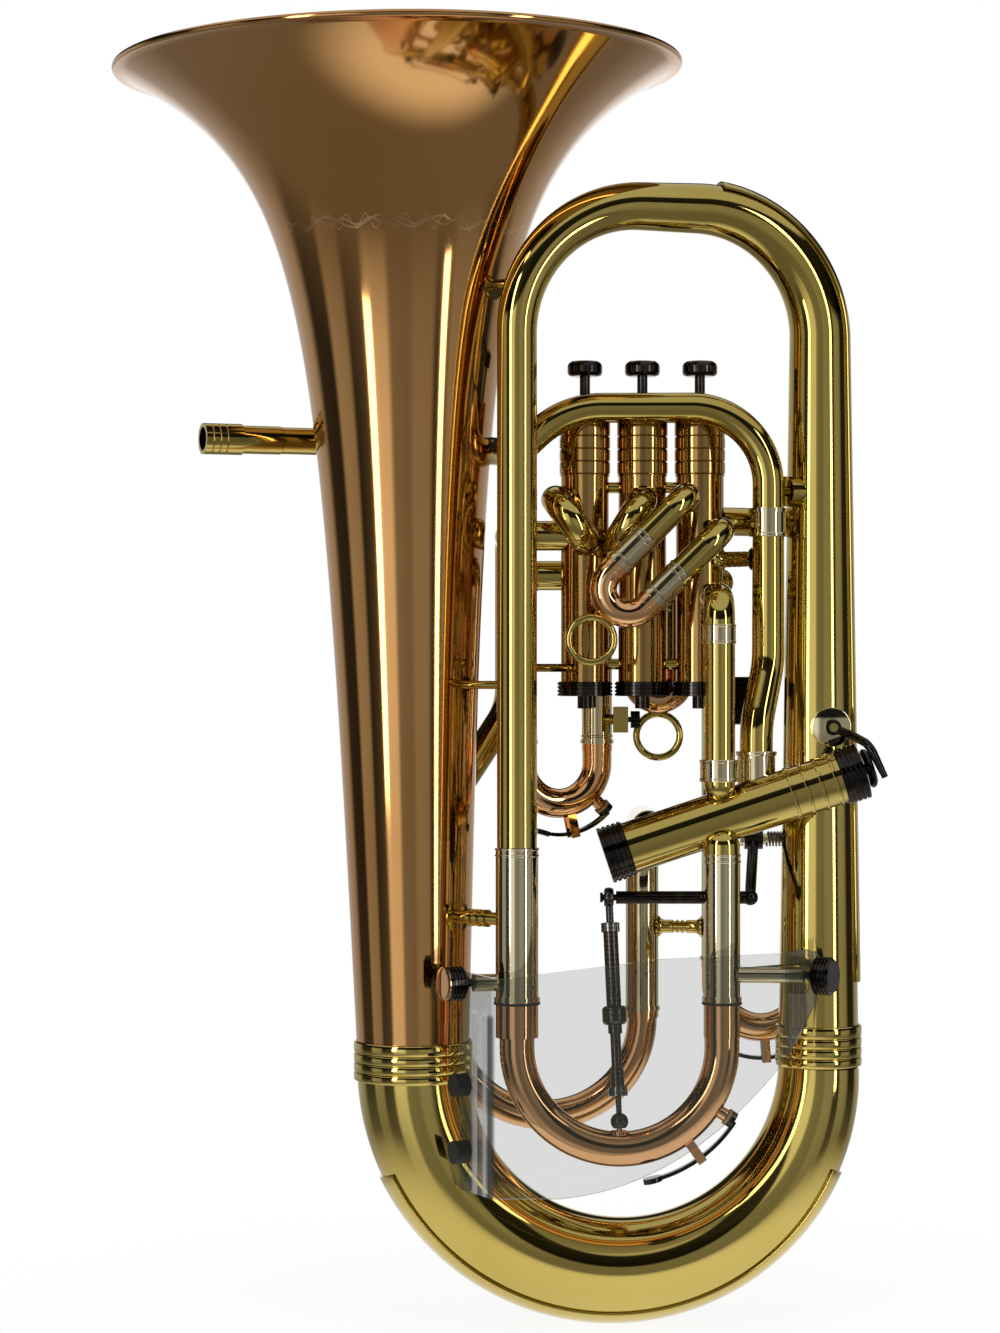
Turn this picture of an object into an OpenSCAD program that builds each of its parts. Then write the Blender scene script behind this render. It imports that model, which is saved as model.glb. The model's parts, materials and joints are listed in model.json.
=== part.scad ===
// Euphonium with three upright valves, one side valve, a tuning slide trigger and a clear guard
// The origin is the lowest point of the bottom bow, where it rests in the lap; Z is up, sizes in mm

/* [Bell and bow] */
// Distance from the bell axis to the outer branch
bow_span = 217.5; // [212:0.5:222]
// Tube radius of the bow at the bell end
bow_bell_r = 30.3; // [29.5:0.1:30.4]
// Tube radius of the bow at its lowest point
bow_low_r = 27.6; // [26.5:0.1:28.5]
// Tube radius of the bow at the branch end
bow_branch_r = 21.7; // [20.8:0.1:21.8]
// Wall of the bow and branches
bow_wall = 0.8; // [0.6:0.05:1.2]
// Length of the bell along its axis
bell_length = 535; // [520:1:545]
// Lean of the bell away from the valves, in degrees
bell_lean = 0.9; // [0:0.1:1.2]
// Wall of the bell, measured across its axis
bell_wall = 1; // [0.8:0.1:1.6]
// Radius of the rolled rim wire
rim_bead_r = 1.9; // [1.4:0.1:2.4]
// Thickness of the guard strips on the bow and branch
strip_t = 1.2; // [0.8:0.1:1.8]

/* [Branches] */
// Height where the outer branch meets the top bow
spring_z = 526; // [520:1:532]
// Tube radius there
branch_top_r = 15.6; // [15:0.1:16.2]
// Bend radius of the top bow
top_bend = 68; // [60:0.5:72]
// Tube radius of the front leg under the top bow
leg_r = 10.5; // [10.2:0.05:10.6]
// Place of the front leg across the horn
leg_x = -53.35; // [-54.5:0.05:-52.5]
// Depth of the front leg and the tuning slide in front of the bell plane
leg_y = -45; // [-46:0.5:-44]

/* [Tuning slide] */
// Distance between the two legs of the tuning slide
main_span = 107.2; // [106:0.1:108]
// Outside radius of the left sleeve
main_left_r = 11.25; // [11.2:0.05:11.5]
// Outside radius of the right sleeve
main_right_r = 9.6; // [9.3:0.05:9.9]
// Lower end of both sleeves
main_low_z = 175.7; // [174:0.1:178]
// Upper end of the left sleeve
main_top_z = 255.9; // [250:0.1:258]
// Height of the crook bend centre
main_bend_z = 151.8; // [150:0.1:154]

/* [Valves] */
// Distance between valve axes
valve_pitch = 30.95; // [30.6:0.05:31.3]
// Place of the first valve
valve_x = -16.55; // [-17:0.05:-16]
// Depth of the valves behind the bell plane
valve_y = 5; // [4.5:0.1:5.5]
// Outside radius of a valve casing
casing_r = 12.9; // [12.7:0.05:13]
// Inside radius of a valve casing
casing_bore_r = 11.6; // [11.2:0.05:11.9]
// Underside of the bottom caps
cap_low_z = 334.8; // [333:0.1:336]
// Top of the top caps
cap_top_z = 489.4; // [488:0.1:491]
// Piston length
piston_l = 88; // [80:1:90]
// Piston travel of the upright valves
valve_travel = 16; // [12:0.5:16.5]
// Button radius
button_r = 9.4; // [8.5:0.1:10]
// Button height
button_h = 8.1; // [6:0.1:9]
// Stem radius
stem_r = 2.8; // [2.4:0.05:3]

/* [Side valve] */
// Rise of the side valve axis, in degrees
side_tilt = 18.4; // [18:0.1:18.8]
// Outside radius of the side valve casing
side_r = 13.75; // [13.5:0.05:13.9]
// Depth of its axis in front of the bell plane
side_y = -37; // [-37.5:0.1:-36.6]
// Length over both caps
side_length = 143; // [141:0.5:144]
// Piston travel of the side valve
side_travel = 15; // [12:0.5:15]
// Radius of its button
side_button_r = 10.75; // [9.5:0.05:11]

/* [Slides] */
// Wall of slide tubes
slide_wall = 0.7; // [0.6:0.05:0.8]
// Distance between the legs of the first slide
first_span = 43.87; // [43.5:0.01:44.2]
// Distance between the legs of the second slide
second_span = 24; // [23.6:0.1:24.4]
// Distance between the legs of the third slide, on the right
third_span = 49.3; // [48.8:0.1:49.8]
// Distance between the legs of the fourth slide, behind the bell
fourth_span = 106.8; // [106:0.1:107.6]
// Distance between the legs of the slanted front slide
front_span = 26; // [25.6:0.1:26.4]
// Wire radius of the pull rings
ring_wire = 1.85; // [1.4:0.05:2.1]
// Outside radius of the pull rings
ring_r = 13.7; // [13:0.1:14.2]

/* [Leadpipe] */
// Bore radius of the mouthpiece receiver
receiver_bore = 6.35; // [6:0.05:6.6]
// Bore depth of the receiver
receiver_depth = 34; // [28:1:38]
// Turn of the receiver toward the player, in degrees
receiver_turn = 22; // [20:0.5:24]

/* [Guard] */
// Thickness of the clear guard
guard_t = 3; // [2:0.25:3.5]
// Depth of the guard in front of the bell plane
guard_y = -72; // [-74:0.5:-70]

/* [Fits] */
// Radial clearance of pistons and slide legs
slide_fit = 0.08; // [0.03:0.01:0.1]
// Radial clearance of pins, screws and pivots
pin_fit = 0.06; // [0.03:0.01:0.1]
// Gap between parts that stand next to each other
gap = 0.3; // [0.3:0.05:0.6]
// Gap of a soldered seat
seat = 0.06; // [0.04:0.01:0.1]

/* [Hidden] */
$fn = 48;
eps = 1;
bell_x = -bow_span / 2;
branch_x = bow_span / 2;
bow_z = bow_low_r + bow_span / 2;
top_z = spring_z + top_bend;
main_x = leg_x + main_span / 2;
main_right_x = leg_x + main_span;
main_crook_r = 9.2;
main_out_r = main_span / 2 + main_crook_r;
valves_x = [valve_x, valve_x + valve_pitch, valve_x + 2 * valve_pitch];
side_x = -7.25;
side_z = 251.1;
side_top = side_length - 4.5;
bell_low_z = bow_z + 0.8;
sleeve_r = 8.3;
first_leg_r = sleeve_r - slide_wall - slide_fit;
brass = [0.80, 0.62, 0.28];
gold_brass = [0.74, 0.52, 0.28];
rose_brass = [0.78, 0.55, 0.40];
nickel = [0.80, 0.79, 0.76];
black = [0.10, 0.10, 0.11];
steel = [0.70, 0.71, 0.72];
clear = [0.80, 0.84, 0.81, 0.4];

// Vectors, routes and swept tubes
function unit(v) = v / norm(v);
function turn_of(a, b, c) = acos(max(-1, min(1, unit(b - a) * unit(c - b))));
function arc_at(a, b, c, r, step) =
  let (d1 = unit(b - a), d2 = unit(c - b), w = turn_of(a, b, c), n = ceil(w / step))
  let (side = unit(d2 - d1 * (d1 * d2)), start = b - d1 * r * tan(w / 2), mid = start + side * r)
  [for (i = [0:n]) mid - side * r * cos(w * i / n) + d1 * r * sin(w * i / n)];
function route(p, r, step) = concat([p[0]],
  [for (i = [1:len(p) - 2]) each arc_at(p[i - 1], p[i], p[i + 1], r[i - 1], step)],
  [p[len(p) - 1]]);
function tangent(p, i) = unit(p[min(i + 1, len(p) - 1)] - p[max(i - 1, 0)]);
function end_tangent(p, i) = i == 0 ? unit(p[1] - p[0])
  : i == len(p) - 1 ? unit(p[i] - p[i - 1]) : tangent(p, i);
function across(n, t) = unit(n - t * (n * t));
function normals(p, first) = [for (i = 0, n = across(first, end_tangent(p, 0)); i < len(p);
  i = i + 1, n = i < len(p) ? across(n, end_tangent(p, i)) : n) n];
function lengths(p) = [for (i = 0, s = 0; i < len(p);
  i = i + 1, s = i < len(p) ? s + norm(p[i] - p[i - 1]) : s) s];
function ring_pts(c, n, b, r, k) = [for (j = [0:k - 1])
  c + r * (cos(360 * j / k) * n + sin(360 * j / k) * b)];
function wall_faces(from, m, k, out) = [for (i = [0:m - 2], j = [0:k - 1])
  let (a = from + i * k + j, b = from + i * k + (j + 1) % k, c = b + k, d = a + k)
  each out ? [[a, d, c], [a, c, b]] : [[a, c, d], [a, b, c]]];
function cap_faces(o, i, k, start) = [for (j = [0:k - 1]) let (j1 = (j + 1) % k)
  each start ? [[o + j, o + j1, i + j1], [o + j, i + j1, i + j]]
    : [[o + j, i + j, i + j1], [o + j, i + j1, o + j1]]];
function fan_faces(o, k, start) = [for (j = [1:k - 2])
  start ? [o, o + j, o + j + 1] : [o, o + j + 1, o + j]];

// A tube of changing radius along a route
module swept_tube(p, radii, wall, first, k = 20) {
  n = normals(p, first);
  m = len(p);
  outer = [for (i = [0:m - 1])
    each ring_pts(p[i], n[i], cross(end_tangent(p, i), n[i]), radii[i], k)];
  inner = [for (i = [0:m - 1])
    each ring_pts(p[i], n[i], cross(end_tangent(p, i), n[i]), radii[i] - wall, k)];
  polyhedron(concat(outer, inner), concat(wall_faces(0, m, k, true),
    wall_faces(m * k, m, k, false), cap_faces(0, m * k, k, true),
    cap_faces((m - 1) * k, (2 * m - 1) * k, k, false)));
}

// A solid rod along a route
module swept_rod(p, radii, first, k = 8) {
  n = normals(p, first);
  m = len(p);
  outer = [for (i = [0:m - 1])
    each ring_pts(p[i], n[i], cross(end_tangent(p, i), n[i]), radii[i], k)];
  polyhedron(outer, concat(wall_faces(0, m, k, true), fan_faces(0, k, true),
    fan_faces((m - 1) * k, k, false)));
}

// A curved strip that lies on the outer side of a swept tube
module swept_strip(p, outs, radii, half, t, q = 8) {
  m = len(p);
  k = 2 * (q + 1);
  pts = [for (i = [0:m - 1]) let (b = cross(end_tangent(p, i), outs[i]))
    each concat(
      [for (j = [0:q]) let (a = -half + 2 * half * j / q)
        p[i] + (radii[i] + t) * (cos(a) * outs[i] + sin(a) * b)],
      [for (j = [0:q]) let (a = half - 2 * half * j / q)
        p[i] + radii[i] * (cos(a) * outs[i] + sin(a) * b)])];
  ends = [for (j = [0:q - 1]) each [[j, j + 1, k - 2 - j], [j, k - 2 - j, k - 1 - j]]];
  back = [for (f = ends) [f[0], f[2], f[1]] + [1, 1, 1] * (m - 1) * k];
  polyhedron(pts, concat(wall_faces(0, m, k, true), ends, back));
}

// A coil spring along Z
module coil(r, wire, length, turns, k = 6, per = 12) {
  n = turns * per;
  p = [for (i = [0:n]) [r * cos(360 * i / per), r * sin(360 * i / per),
    wire + (length - 2 * wire) * i / n]];
  echo(coil_gap = (length - 2 * wire) / turns - 2 * wire);
  swept_rod(p, [for (i = [0:n]) wire], [1, 0, 0], k);
}

// Straight tubes, bends and rods
module tube(ro, ri, h) {
  difference() {
    cylinder(r = ro, h = h);
    translate([0, 0, -eps]) cylinder(r = ri, h = h + 2 * eps);
  }
}
module bend(ro, ri, r, ang) {
  rotate_extrude(angle = ang) translate([r, 0]) difference() {
    circle(ro);
    circle(ri);
  }
}
// Starts upward and turns to +Y
module elbow(ro, ri, r) {
  translate([0, r, 0]) rotate([90, 0, -90]) bend(ro, ri, r, 90);
}
module u_bend(span, ro, ri) {
  rotate([-90, 0, 0]) bend(ro, ri, span / 2, 180);
}
module along(a, b) {
  d = unit(b - a);
  x = abs(d[2]) < 0.9 ? unit(cross([0, 0, 1], d)) : unit(cross([0, 1, 0], d));
  y = cross(d, x);
  multmatrix([[x[0], y[0], d[0], a[0]], [x[1], y[1], d[1], a[1]], [x[2], y[2], d[2], a[2]]])
    children();
}
module rod(a, b, r) {
  along(a, b) cylinder(r = r, h = norm(b - a));
}
// A post between two round pieces, given by their axes and radii
module post(a, ra, b, rb, r, flange = 0) {
  d = unit(b - a);
  from = a + d * (ra + seat);
  to = b - d * (rb + seat);
  rod(from, to, r);
  if (flange > 0) rod(from, from + d * 1.6, flange);
}

// Bell
function bell_r(u) = let (v = u / bell_length)
  47.44 - 17.71 * v + 48.62 * exp(-5.35 * v) + 56.72 * exp(-14.861 * v);
bell_steps = 26;
bell_us = [for (i = [0:bell_steps]) bell_length * pow(1 - i / bell_steps, 2.2)];
module at_bell() {
  translate([bell_x, 0, bell_low_z]) rotate([0, -bell_lean, 0]) children();
}
module bell_profile(extra) {
  polygon(concat([[0, 0]], [for (u = bell_us) [bell_r(u) + extra, bell_length - u]],
    [[0, bell_length]]));
}
module bell_solid(extra) {
  at_bell() rotate_extrude() bell_profile(extra);
}
module bell() {
  bead_x = bell_r(0) - rim_bead_r;
  color(gold_brass) at_bell() {
    rotate_extrude() polygon(concat([for (u = bell_us) [bell_r(u), bell_length - u]],
      [for (i = [bell_steps:-1:0]) let (u = bell_us[i]) [bell_r(u) - bell_wall, bell_length - u]]));
    translate([0, 0, bell_length - 0.6]) rotate_extrude() translate([bead_x, 0])
      circle(rim_bead_r, $fn = 24);
  }
}

// Bottom bow in the bell plane
bow_ends = [0, 0.5, 1.5, 4];
bow_angles = concat([for (a = bow_ends) 180 + a], [for (i = [1:19]) 180 + 9 * i],
  [for (i = [3:-1:0]) 360 - bow_ends[i]]);
bow_pts = [for (a = bow_angles) [bow_span / 2 * cos(a), 0, bow_z + bow_span / 2 * sin(a)]];
bow_k = ln((bow_bell_r - bow_low_r) / (bow_bell_r - bow_branch_r)) / ln(0.5);
function bow_r(a) = bow_bell_r - (bow_bell_r - bow_branch_r) * pow((a - 180) / 180, bow_k);
module bottom_bow() {
  color(brass) swept_tube(bow_pts, [for (a = bow_angles) bow_r(a)], bow_wall, [-1, 0, 0], 24);
}
module bow_guard() {
  angles = [for (i = [0:14]) 205 + 130 * i / 14];
  color(brass) swept_strip([for (a = angles) [bow_span / 2 * cos(a), 0,
    bow_z + bow_span / 2 * sin(a)]], [for (a = angles) [cos(a), 0, sin(a)]],
    [for (a = angles) bow_r(a) + 0.3], 38, strip_t);
}
module stepped_ring(ro, ri, h) {
  tube(ro, ri, h);
  for (i = [0.16, 0.5, 0.84]) translate([0, 0, h * i - h * 0.1]) tube(ro + 0.6, ri, h * 0.2);
}
module bow_ferrules() {
  color(brass) {
    translate([bell_x, 0, bow_z - 7]) stepped_ring(bow_bell_r + 1.2, bow_bell_r + 0.62, 21);
    translate([branch_x, 0, bow_z + 0.6]) stepped_ring(bow_branch_r + 0.8, bow_branch_r + 0.1, 22);
  }
}

// Outer branch, top bow and front leg
branch_low_z = bow_z + 0.4;
function branch_r(z) = bow_branch_r
  + (branch_top_r - bow_branch_r) * (z - branch_low_z) / (spring_z - branch_low_z);
module branch_solid(extra) {
  translate([branch_x, 0, branch_low_z])
    cylinder(r1 = bow_branch_r + extra, r2 = branch_top_r + extra, h = spring_z - branch_low_z);
}
module outer_branch() {
  color(brass) difference() {
    branch_solid(0);
    translate([branch_x, 0, branch_low_z - eps]) cylinder(r1 = bow_branch_r - bow_wall,
      r2 = branch_top_r - bow_wall, h = spring_z - branch_low_z + 2 * eps);
  }
}
top_route = route([[branch_x, 0, spring_z + 0.3], [branch_x, 0, top_z], [leg_x, leg_y, top_z],
  [leg_x, leg_y, main_top_z + 0.3]], [top_bend, top_bend], 9);
top_len = lengths(top_route);
arch_len = top_len[len(top_len) - 2];
function top_r(s) = s > arch_len ? leg_r
  : branch_top_r + (leg_r - branch_top_r) * s / arch_len;
module top_bow() {
  color(brass) swept_tube(top_route, [for (s = top_len) top_r(s)], bow_wall, [1, 0, 0], 22);
}
arch_dir = unit([branch_x - leg_x, -leg_y, 0]);
module branch_guard() {
  bend_c = [branch_x, 0, spring_z] - arch_dir * top_bend;
  outs = concat([for (i = [0:9]) let (a = 82 - 82 * i / 9) arch_dir * cos(a) + [0, 0, sin(a)]],
    [arch_dir]);
  low = [branch_x, 0, 182];
  pts = concat([for (i = [0:9]) bend_c + outs[i] * top_bend], [low]);
  rads = concat([for (i = [0:9]) branch_top_r - 1.5 * (9 - i) / 9 + 0.55], [branch_r(182) + 0.35]);
  color(brass) swept_strip(pts, outs, rads, 40, strip_t);
}

// Sleeves of the tuning slide
module sleeve(ro, ri, h) {
  tube(ro, ri, h);
  tube(ro + 0.8, ri, 2.4);
}
module main_sleeves() {
  color(nickel) {
    translate([leg_x, leg_y, main_low_z]) sleeve(main_left_r, main_left_r - 0.8,
      main_top_z - main_low_z);
    translate([main_right_x, leg_y, main_low_z]) sleeve(main_right_r, main_right_r - 0.8, 77);
  }
}

// Leadpipe and receiver
receiver_out = [-cos(receiver_turn), -sin(receiver_turn), 0];
wrap_gap = 4.73;
lead_z = 474.5;
wrap_r = bell_at(lead_z) + 7.4 + wrap_gap;
wrap_x = on_bell(lead_z)[0];
wrap_end = [wrap_x - wrap_r * tan(receiver_turn / 2), wrap_r, lead_z];
mouth = wrap_end + receiver_out * 105.7;
lead_y = -19.5;
lead_x = 80.15;
arch_z = 488;
lead_low = [73, -30, 294.5];
lead_route = route([wrap_end + receiver_out * 61.4, wrap_end,
  [wrap_x + wrap_r, wrap_r, arch_z - 18], [wrap_x + wrap_r, lead_y, arch_z - 25],
  [-28, lead_y, arch_z], [lead_x, lead_y, arch_z], [lead_x, lead_y, 352],
  [lead_low[0], lead_low[1], 320], lead_low], [wrap_r, 57, 14, 50, 41, 40, 40], 12);
lead_len = lengths(lead_route);
lead_total = lead_len[len(lead_len) - 1];
module leadpipe() {
  color(brass) swept_tube(lead_route, [for (s = lead_len) 7.4 + 1.4 * s / lead_total], 0.8,
    [0, 0, 1], 14);
}
module receiver() {
  color(brass) along(mouth, mouth - receiver_out) difference() {
    union() {
      cylinder(r = 8.55, h = 21.5);
      translate([0, 0, 21.5]) cylinder(r = 7.75, h = 22.4);
    }
    translate([0, 0, -eps]) cylinder(r = receiver_bore, h = receiver_depth + eps);
    translate([0, 0, receiver_depth - eps]) cylinder(r = receiver_bore - 0.6, h = 20);
    for (i = [4, 8, 12]) translate([0, 0, i]) rotate_extrude() translate([8.55, 0])
      circle(0.5, $fn = 16);
  }
}
module leadpipe_ferrules() {
  color(nickel) {
    translate([lead_x, lead_y, 419.5]) {
      tube(9.7, 8.9, 15.2);
      translate([0, 0, 13]) tube(10.5, 8.9, 2.2);
    }
    difference() {
      translate([lead_low[0], lead_low[1], 283]) tube(10, 9, 23);
      side_solid(seat);
    }
  }
}

// Valve casings and caps
module at_valve(i) {
  translate([valves_x[i], valve_y, 0]) children();
}
casing_low = cap_low_z + 4;
casing_top = cap_top_z - 5;
module casing_solid(i, extra) {
  at_valve(i) translate([0, 0, casing_low])
    cylinder(r = casing_r + extra, h = casing_top - casing_low);
}
module casings_solid(extra) {
  for (i = [0:2]) casing_solid(i, extra);
}
module casing(i) {
  color(brass) at_valve(i) translate([0, 0, casing_low])
    tube(casing_r, casing_bore_r, casing_top - casing_low);
}
module casing_1() casing(0);
module casing_2() casing(1);
module casing_3() casing(2);
top_cap_l = 36.4;
module top_cap() {
  translate([0, 0, cap_top_z - top_cap_l]) difference() {
    cylinder(r = casing_r + 0.8, h = top_cap_l);
    translate([0, 0, -eps]) cylinder(r = casing_r + seat, h = top_cap_l - 4.6 + eps);
    translate([0, 0, -eps]) cylinder(r = stem_r + 0.4, h = top_cap_l + 2 * eps);
    for (i = [0:3]) translate([0, 0, 0.9 + 6.8 * i]) rotate_extrude()
      translate([casing_r + 0.8, 0]) circle(0.5, $fn = 12);
  }
}
module top_caps() {
  color(brass) for (i = [0:2]) at_valve(i) top_cap();
}
module knurl(r, h, n, depth) {
  difference() {
    cylinder(r = r, h = h);
    for (i = [0:n - 1]) rotate([0, 0, 360 * i / n]) translate([r, 0, -eps])
      cylinder(r = depth, h = h + 2 * eps, $fn = 6);
  }
}
// A turned rim with grooves around it
module grooved(r, h, n, depth) {
  rotate_extrude() polygon(concat([[0, 0], [r - depth, 0]],
    [for (i = [0:n - 1]) each [[r, h * (i + 0.12) / n], [r, h * (i + 0.7) / n],
      [r - depth, h * (i + 0.78) / n], [r - depth, h * (i + 1) / n]]], [[0, h]]));
}
cap_h = 7.8;
module bottom_cap() {
  translate([0, 0, cap_low_z]) difference() {
    union() {
      grooved(casing_r + 2, cap_h, 4, 0.7);
      translate([0, 0, -6.7]) cylinder(r = 4, h = 7);
    }
    translate([0, 0, 4 - gap]) cylinder(r = casing_r + seat, h = cap_h);
  }
}
module bottom_caps() {
  color(black) for (i = [0:2]) at_valve(i) bottom_cap();
}

// Side valve, lying on the front
module at_side() {
  translate([side_x, side_y, side_z]) rotate([0, 90 - side_tilt, 0]) children();
}
module side_solid(extra) {
  at_side() translate([0, 0, 5.5]) cylinder(r = side_r + extra, h = side_length - 11);
}
module casing_4() {
  color(brass) at_side() difference() {
    union() {
      translate([0, 0, 5.5]) tube(side_r, casing_bore_r, side_length - 11);
      for (i = [0:3]) translate([0, 0, side_length - 40 + 7.8 * i]) tube(side_r + 0.5, casing_bore_r, 1.4);
    }
  }
}
module side_cap(l) {
  difference() {
    grooved(side_r + 1.25, l, 5, 0.7);
    translate([0, 0, 5.5 - gap]) cylinder(r = side_r + seat, h = l);
  }
}
module side_caps() {
  color(black) at_side() {
    side_cap(13.5);
    translate([0, 0, side_length]) rotate([180, 0, 0]) difference() {
      side_cap(12.6);
      translate([0, 0, -eps]) cylinder(r = stem_r + 0.4, h = 20);
    }
  }
}

// Pistons, buttons and springs
port_zs = [16, 42, 68];
port_turns = [0, 55, 110];
module piston_body() {
  pr = casing_bore_r - slide_fit;
  difference() {
    cylinder(r = pr, h = piston_l);
    difference() {
      translate([0, 0, 1.6]) cylinder(r = pr - 1, h = piston_l - 3.2);
      for (i = [0:2]) translate([0, 0, port_zs[i]]) rotate([90, 0, port_turns[i]])
        translate([0, 0, -20]) cylinder(r = 7.4, h = 40);
    }
    for (i = [0:2]) translate([0, 0, port_zs[i]]) rotate([90, 0, port_turns[i]])
      translate([0, 0, -20]) cylinder(r = 6.7, h = 40);
  }
}
piston_top = cap_top_z - 8.4;
button_z = cap_top_z + valve_travel + 1.4;
module piston(i) {
  color(nickel) at_valve(i) translate([0, 0, piston_top - piston_l]) piston_body();
}
module piston_1() piston(0);
module piston_2() piston(1);
module piston_3() piston(2);
module button(r, h) {
  rotate_extrude() polygon([[0, 0], [r - 2.2, 0], [r - 0.7, 0.6], [r, 2], [r, h - 2.6],
    [r - 0.7, h - 1], [r - 2.2, h], [r - 3.5, h], [0, h - 0.8]]);
}
module button_on(i) {
  color(black) at_valve(i) {
    translate([0, 0, button_z]) button(button_r, button_h);
    translate([0, 0, piston_top + seat]) cylinder(r = stem_r, h = button_z - piston_top - seat + 1);
  }
}
module button_1() button_on(0);
module button_2() button_on(1);
module button_3() button_on(2);
spring_low = cap_low_z + 4;
module spring(i) {
  color(steel) at_valve(i) translate([0, 0, spring_low])
    coil(8.5, 0.7, piston_top - piston_l - spring_low - 0.1, 7);
}
module spring_1() spring(0);
module spring_2() spring(1);
module spring_3() spring(2);
side_piston_top = side_top - 3.5 - side_travel;
side_button = side_length + 1;
module piston_4() {
  color(nickel) at_side() translate([0, 0, side_piston_top - piston_l]) piston_body();
}
module button_4() {
  color(black) at_side() {
    translate([0, 0, side_button]) button(side_button_r, 4.5);
    translate([0, 0, side_piston_top + seat])
      cylinder(r = stem_r, h = side_button - side_piston_top - seat + 1);
  }
}
module spring_4() {
  color(steel) at_side() translate([0, 0, 5.3]) coil(8.5, 0.7, side_piston_top - piston_l - 5.4, 7);
}

// Slides: crook, end rings and the legs that run in the sleeves
module slide_u(span, crook_r, up, out_r, leg_or, leg_l) {
  leg_ir = leg_or - 0.6;
  u_bend(span, crook_r, crook_r - slide_wall);
  for (s = [-1, 1]) translate([s * span / 2, 0, 0]) {
    if (up > 4) tube(crook_r, crook_r - slide_wall, up - 4);
    translate([0, 0, up - 4]) tube(out_r, leg_ir, 4 - gap);
    translate([0, 0, up - gap]) tube(leg_or, leg_ir, leg_l);
  }
}
module pull_ring() {
  rotate([90, 0, 0]) rotate_extrude() translate([ring_r - ring_wire, 0])
    circle(ring_wire, $fn = 24);
}

// Water key on the outside of a crook, drawn about the centre of its bend
key_w = 5;
module key_lever(r, pad, hinge, tail) {
  difference() {
    rotate([90, 0, 0]) union() {
      rotate([0, 0, tail]) rotate_extrude(angle = pad - tail)
        translate([r + 8, 0.2 - key_w / 2]) square([2, key_w - 0.4]);
      rotate([0, 0, pad]) translate([r + 3.7, 0, 0]) rotate([0, 90, 0]) cylinder(r = 4.4, h = 4.8);
      rotate([0, 0, tail]) translate([r + 7.6, 0, 0]) rotate([0, 90, 0]) cylinder(r = 5, h = 2.8);
      rotate([0, 0, hinge]) translate([r + 9, 0, -key_w / 2]) cylinder(r = 2.2, h = key_w);
    }
    rotate([90, 0, 0]) rotate([0, 0, hinge]) translate([r + 9, 0, -key_w])
      cylinder(r = 1 + pin_fit, h = 2 * key_w);
  }
}
module key_mount(r, pad, hinge) {
  rotate([90, 0, 0]) {
    rotate([0, 0, pad]) translate([r - 0.5, 0, 0]) rotate([0, 90, 0]) tube(3.4, 2, 3.9);
    rotate([0, 0, hinge]) {
      for (s = [-1, 1]) translate([r - 2, -2.4, s * 3.5 - 0.6]) cube([13.4, 4.8, 1.2]);
      translate([r + 9, 0, -4.4]) cylinder(r = 1, h = 8.8);
    }
  }
}

// Tuning slide with its crook, the foot of the push rod and the water key mount
foot_z = 112.6;
main_pad = -33;
main_hinge = -54;
main_tail = -76;
module main_slide() {
  lr = main_left_r - 0.8 - slide_fit;
  rr = main_right_r - 0.8 - slide_fit;
  up = main_low_z - main_bend_z;
  color(rose_brass) translate([main_x, leg_y, main_bend_z]) {
    difference() {
      union() {
        u_bend(main_span, main_crook_r, main_crook_r - slide_wall);
        key_mount(main_out_r, main_pad, main_hinge);
        translate([0, 0, main_crook_r - main_span / 2 - 2]) cylinder(r = 5, h = 2.2);
      }
      rotate([-90, 0, 0]) bend(main_crook_r - slide_wall, 0.01, main_span / 2, 180);
    }
    translate([-main_span / 2, 0, 0]) {
      tube(main_crook_r, main_crook_r - slide_wall, 5);
      translate([0, 0, 5]) tube(main_left_r, lr - 1.8, up - 5 - gap);
      translate([0, 0, up - gap]) tube(lr, lr - 0.7, 70);
    }
    translate([main_span / 2, 0, 0]) {
      tube(main_crook_r, main_crook_r - slide_wall, 5);
      translate([0, 0, 5]) tube(main_right_r, rr - 0.7, up - 5 - gap);
      translate([0, 0, up - gap]) tube(rr, rr - 0.7, 70);
    }
    translate([0, 0, main_crook_r - main_span / 2]) cylinder(r = 1.5, h = foot_z - main_bend_z
      + main_span / 2 - main_crook_r);
    translate([0, 0, foot_z - main_bend_z]) sphere(2.9, $fn = 32);
  }
}
module main_water_key() {
  color(black) translate([main_x, leg_y, main_bend_z])
    key_lever(main_out_r, main_pad, main_hinge, main_tail);
}

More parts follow.
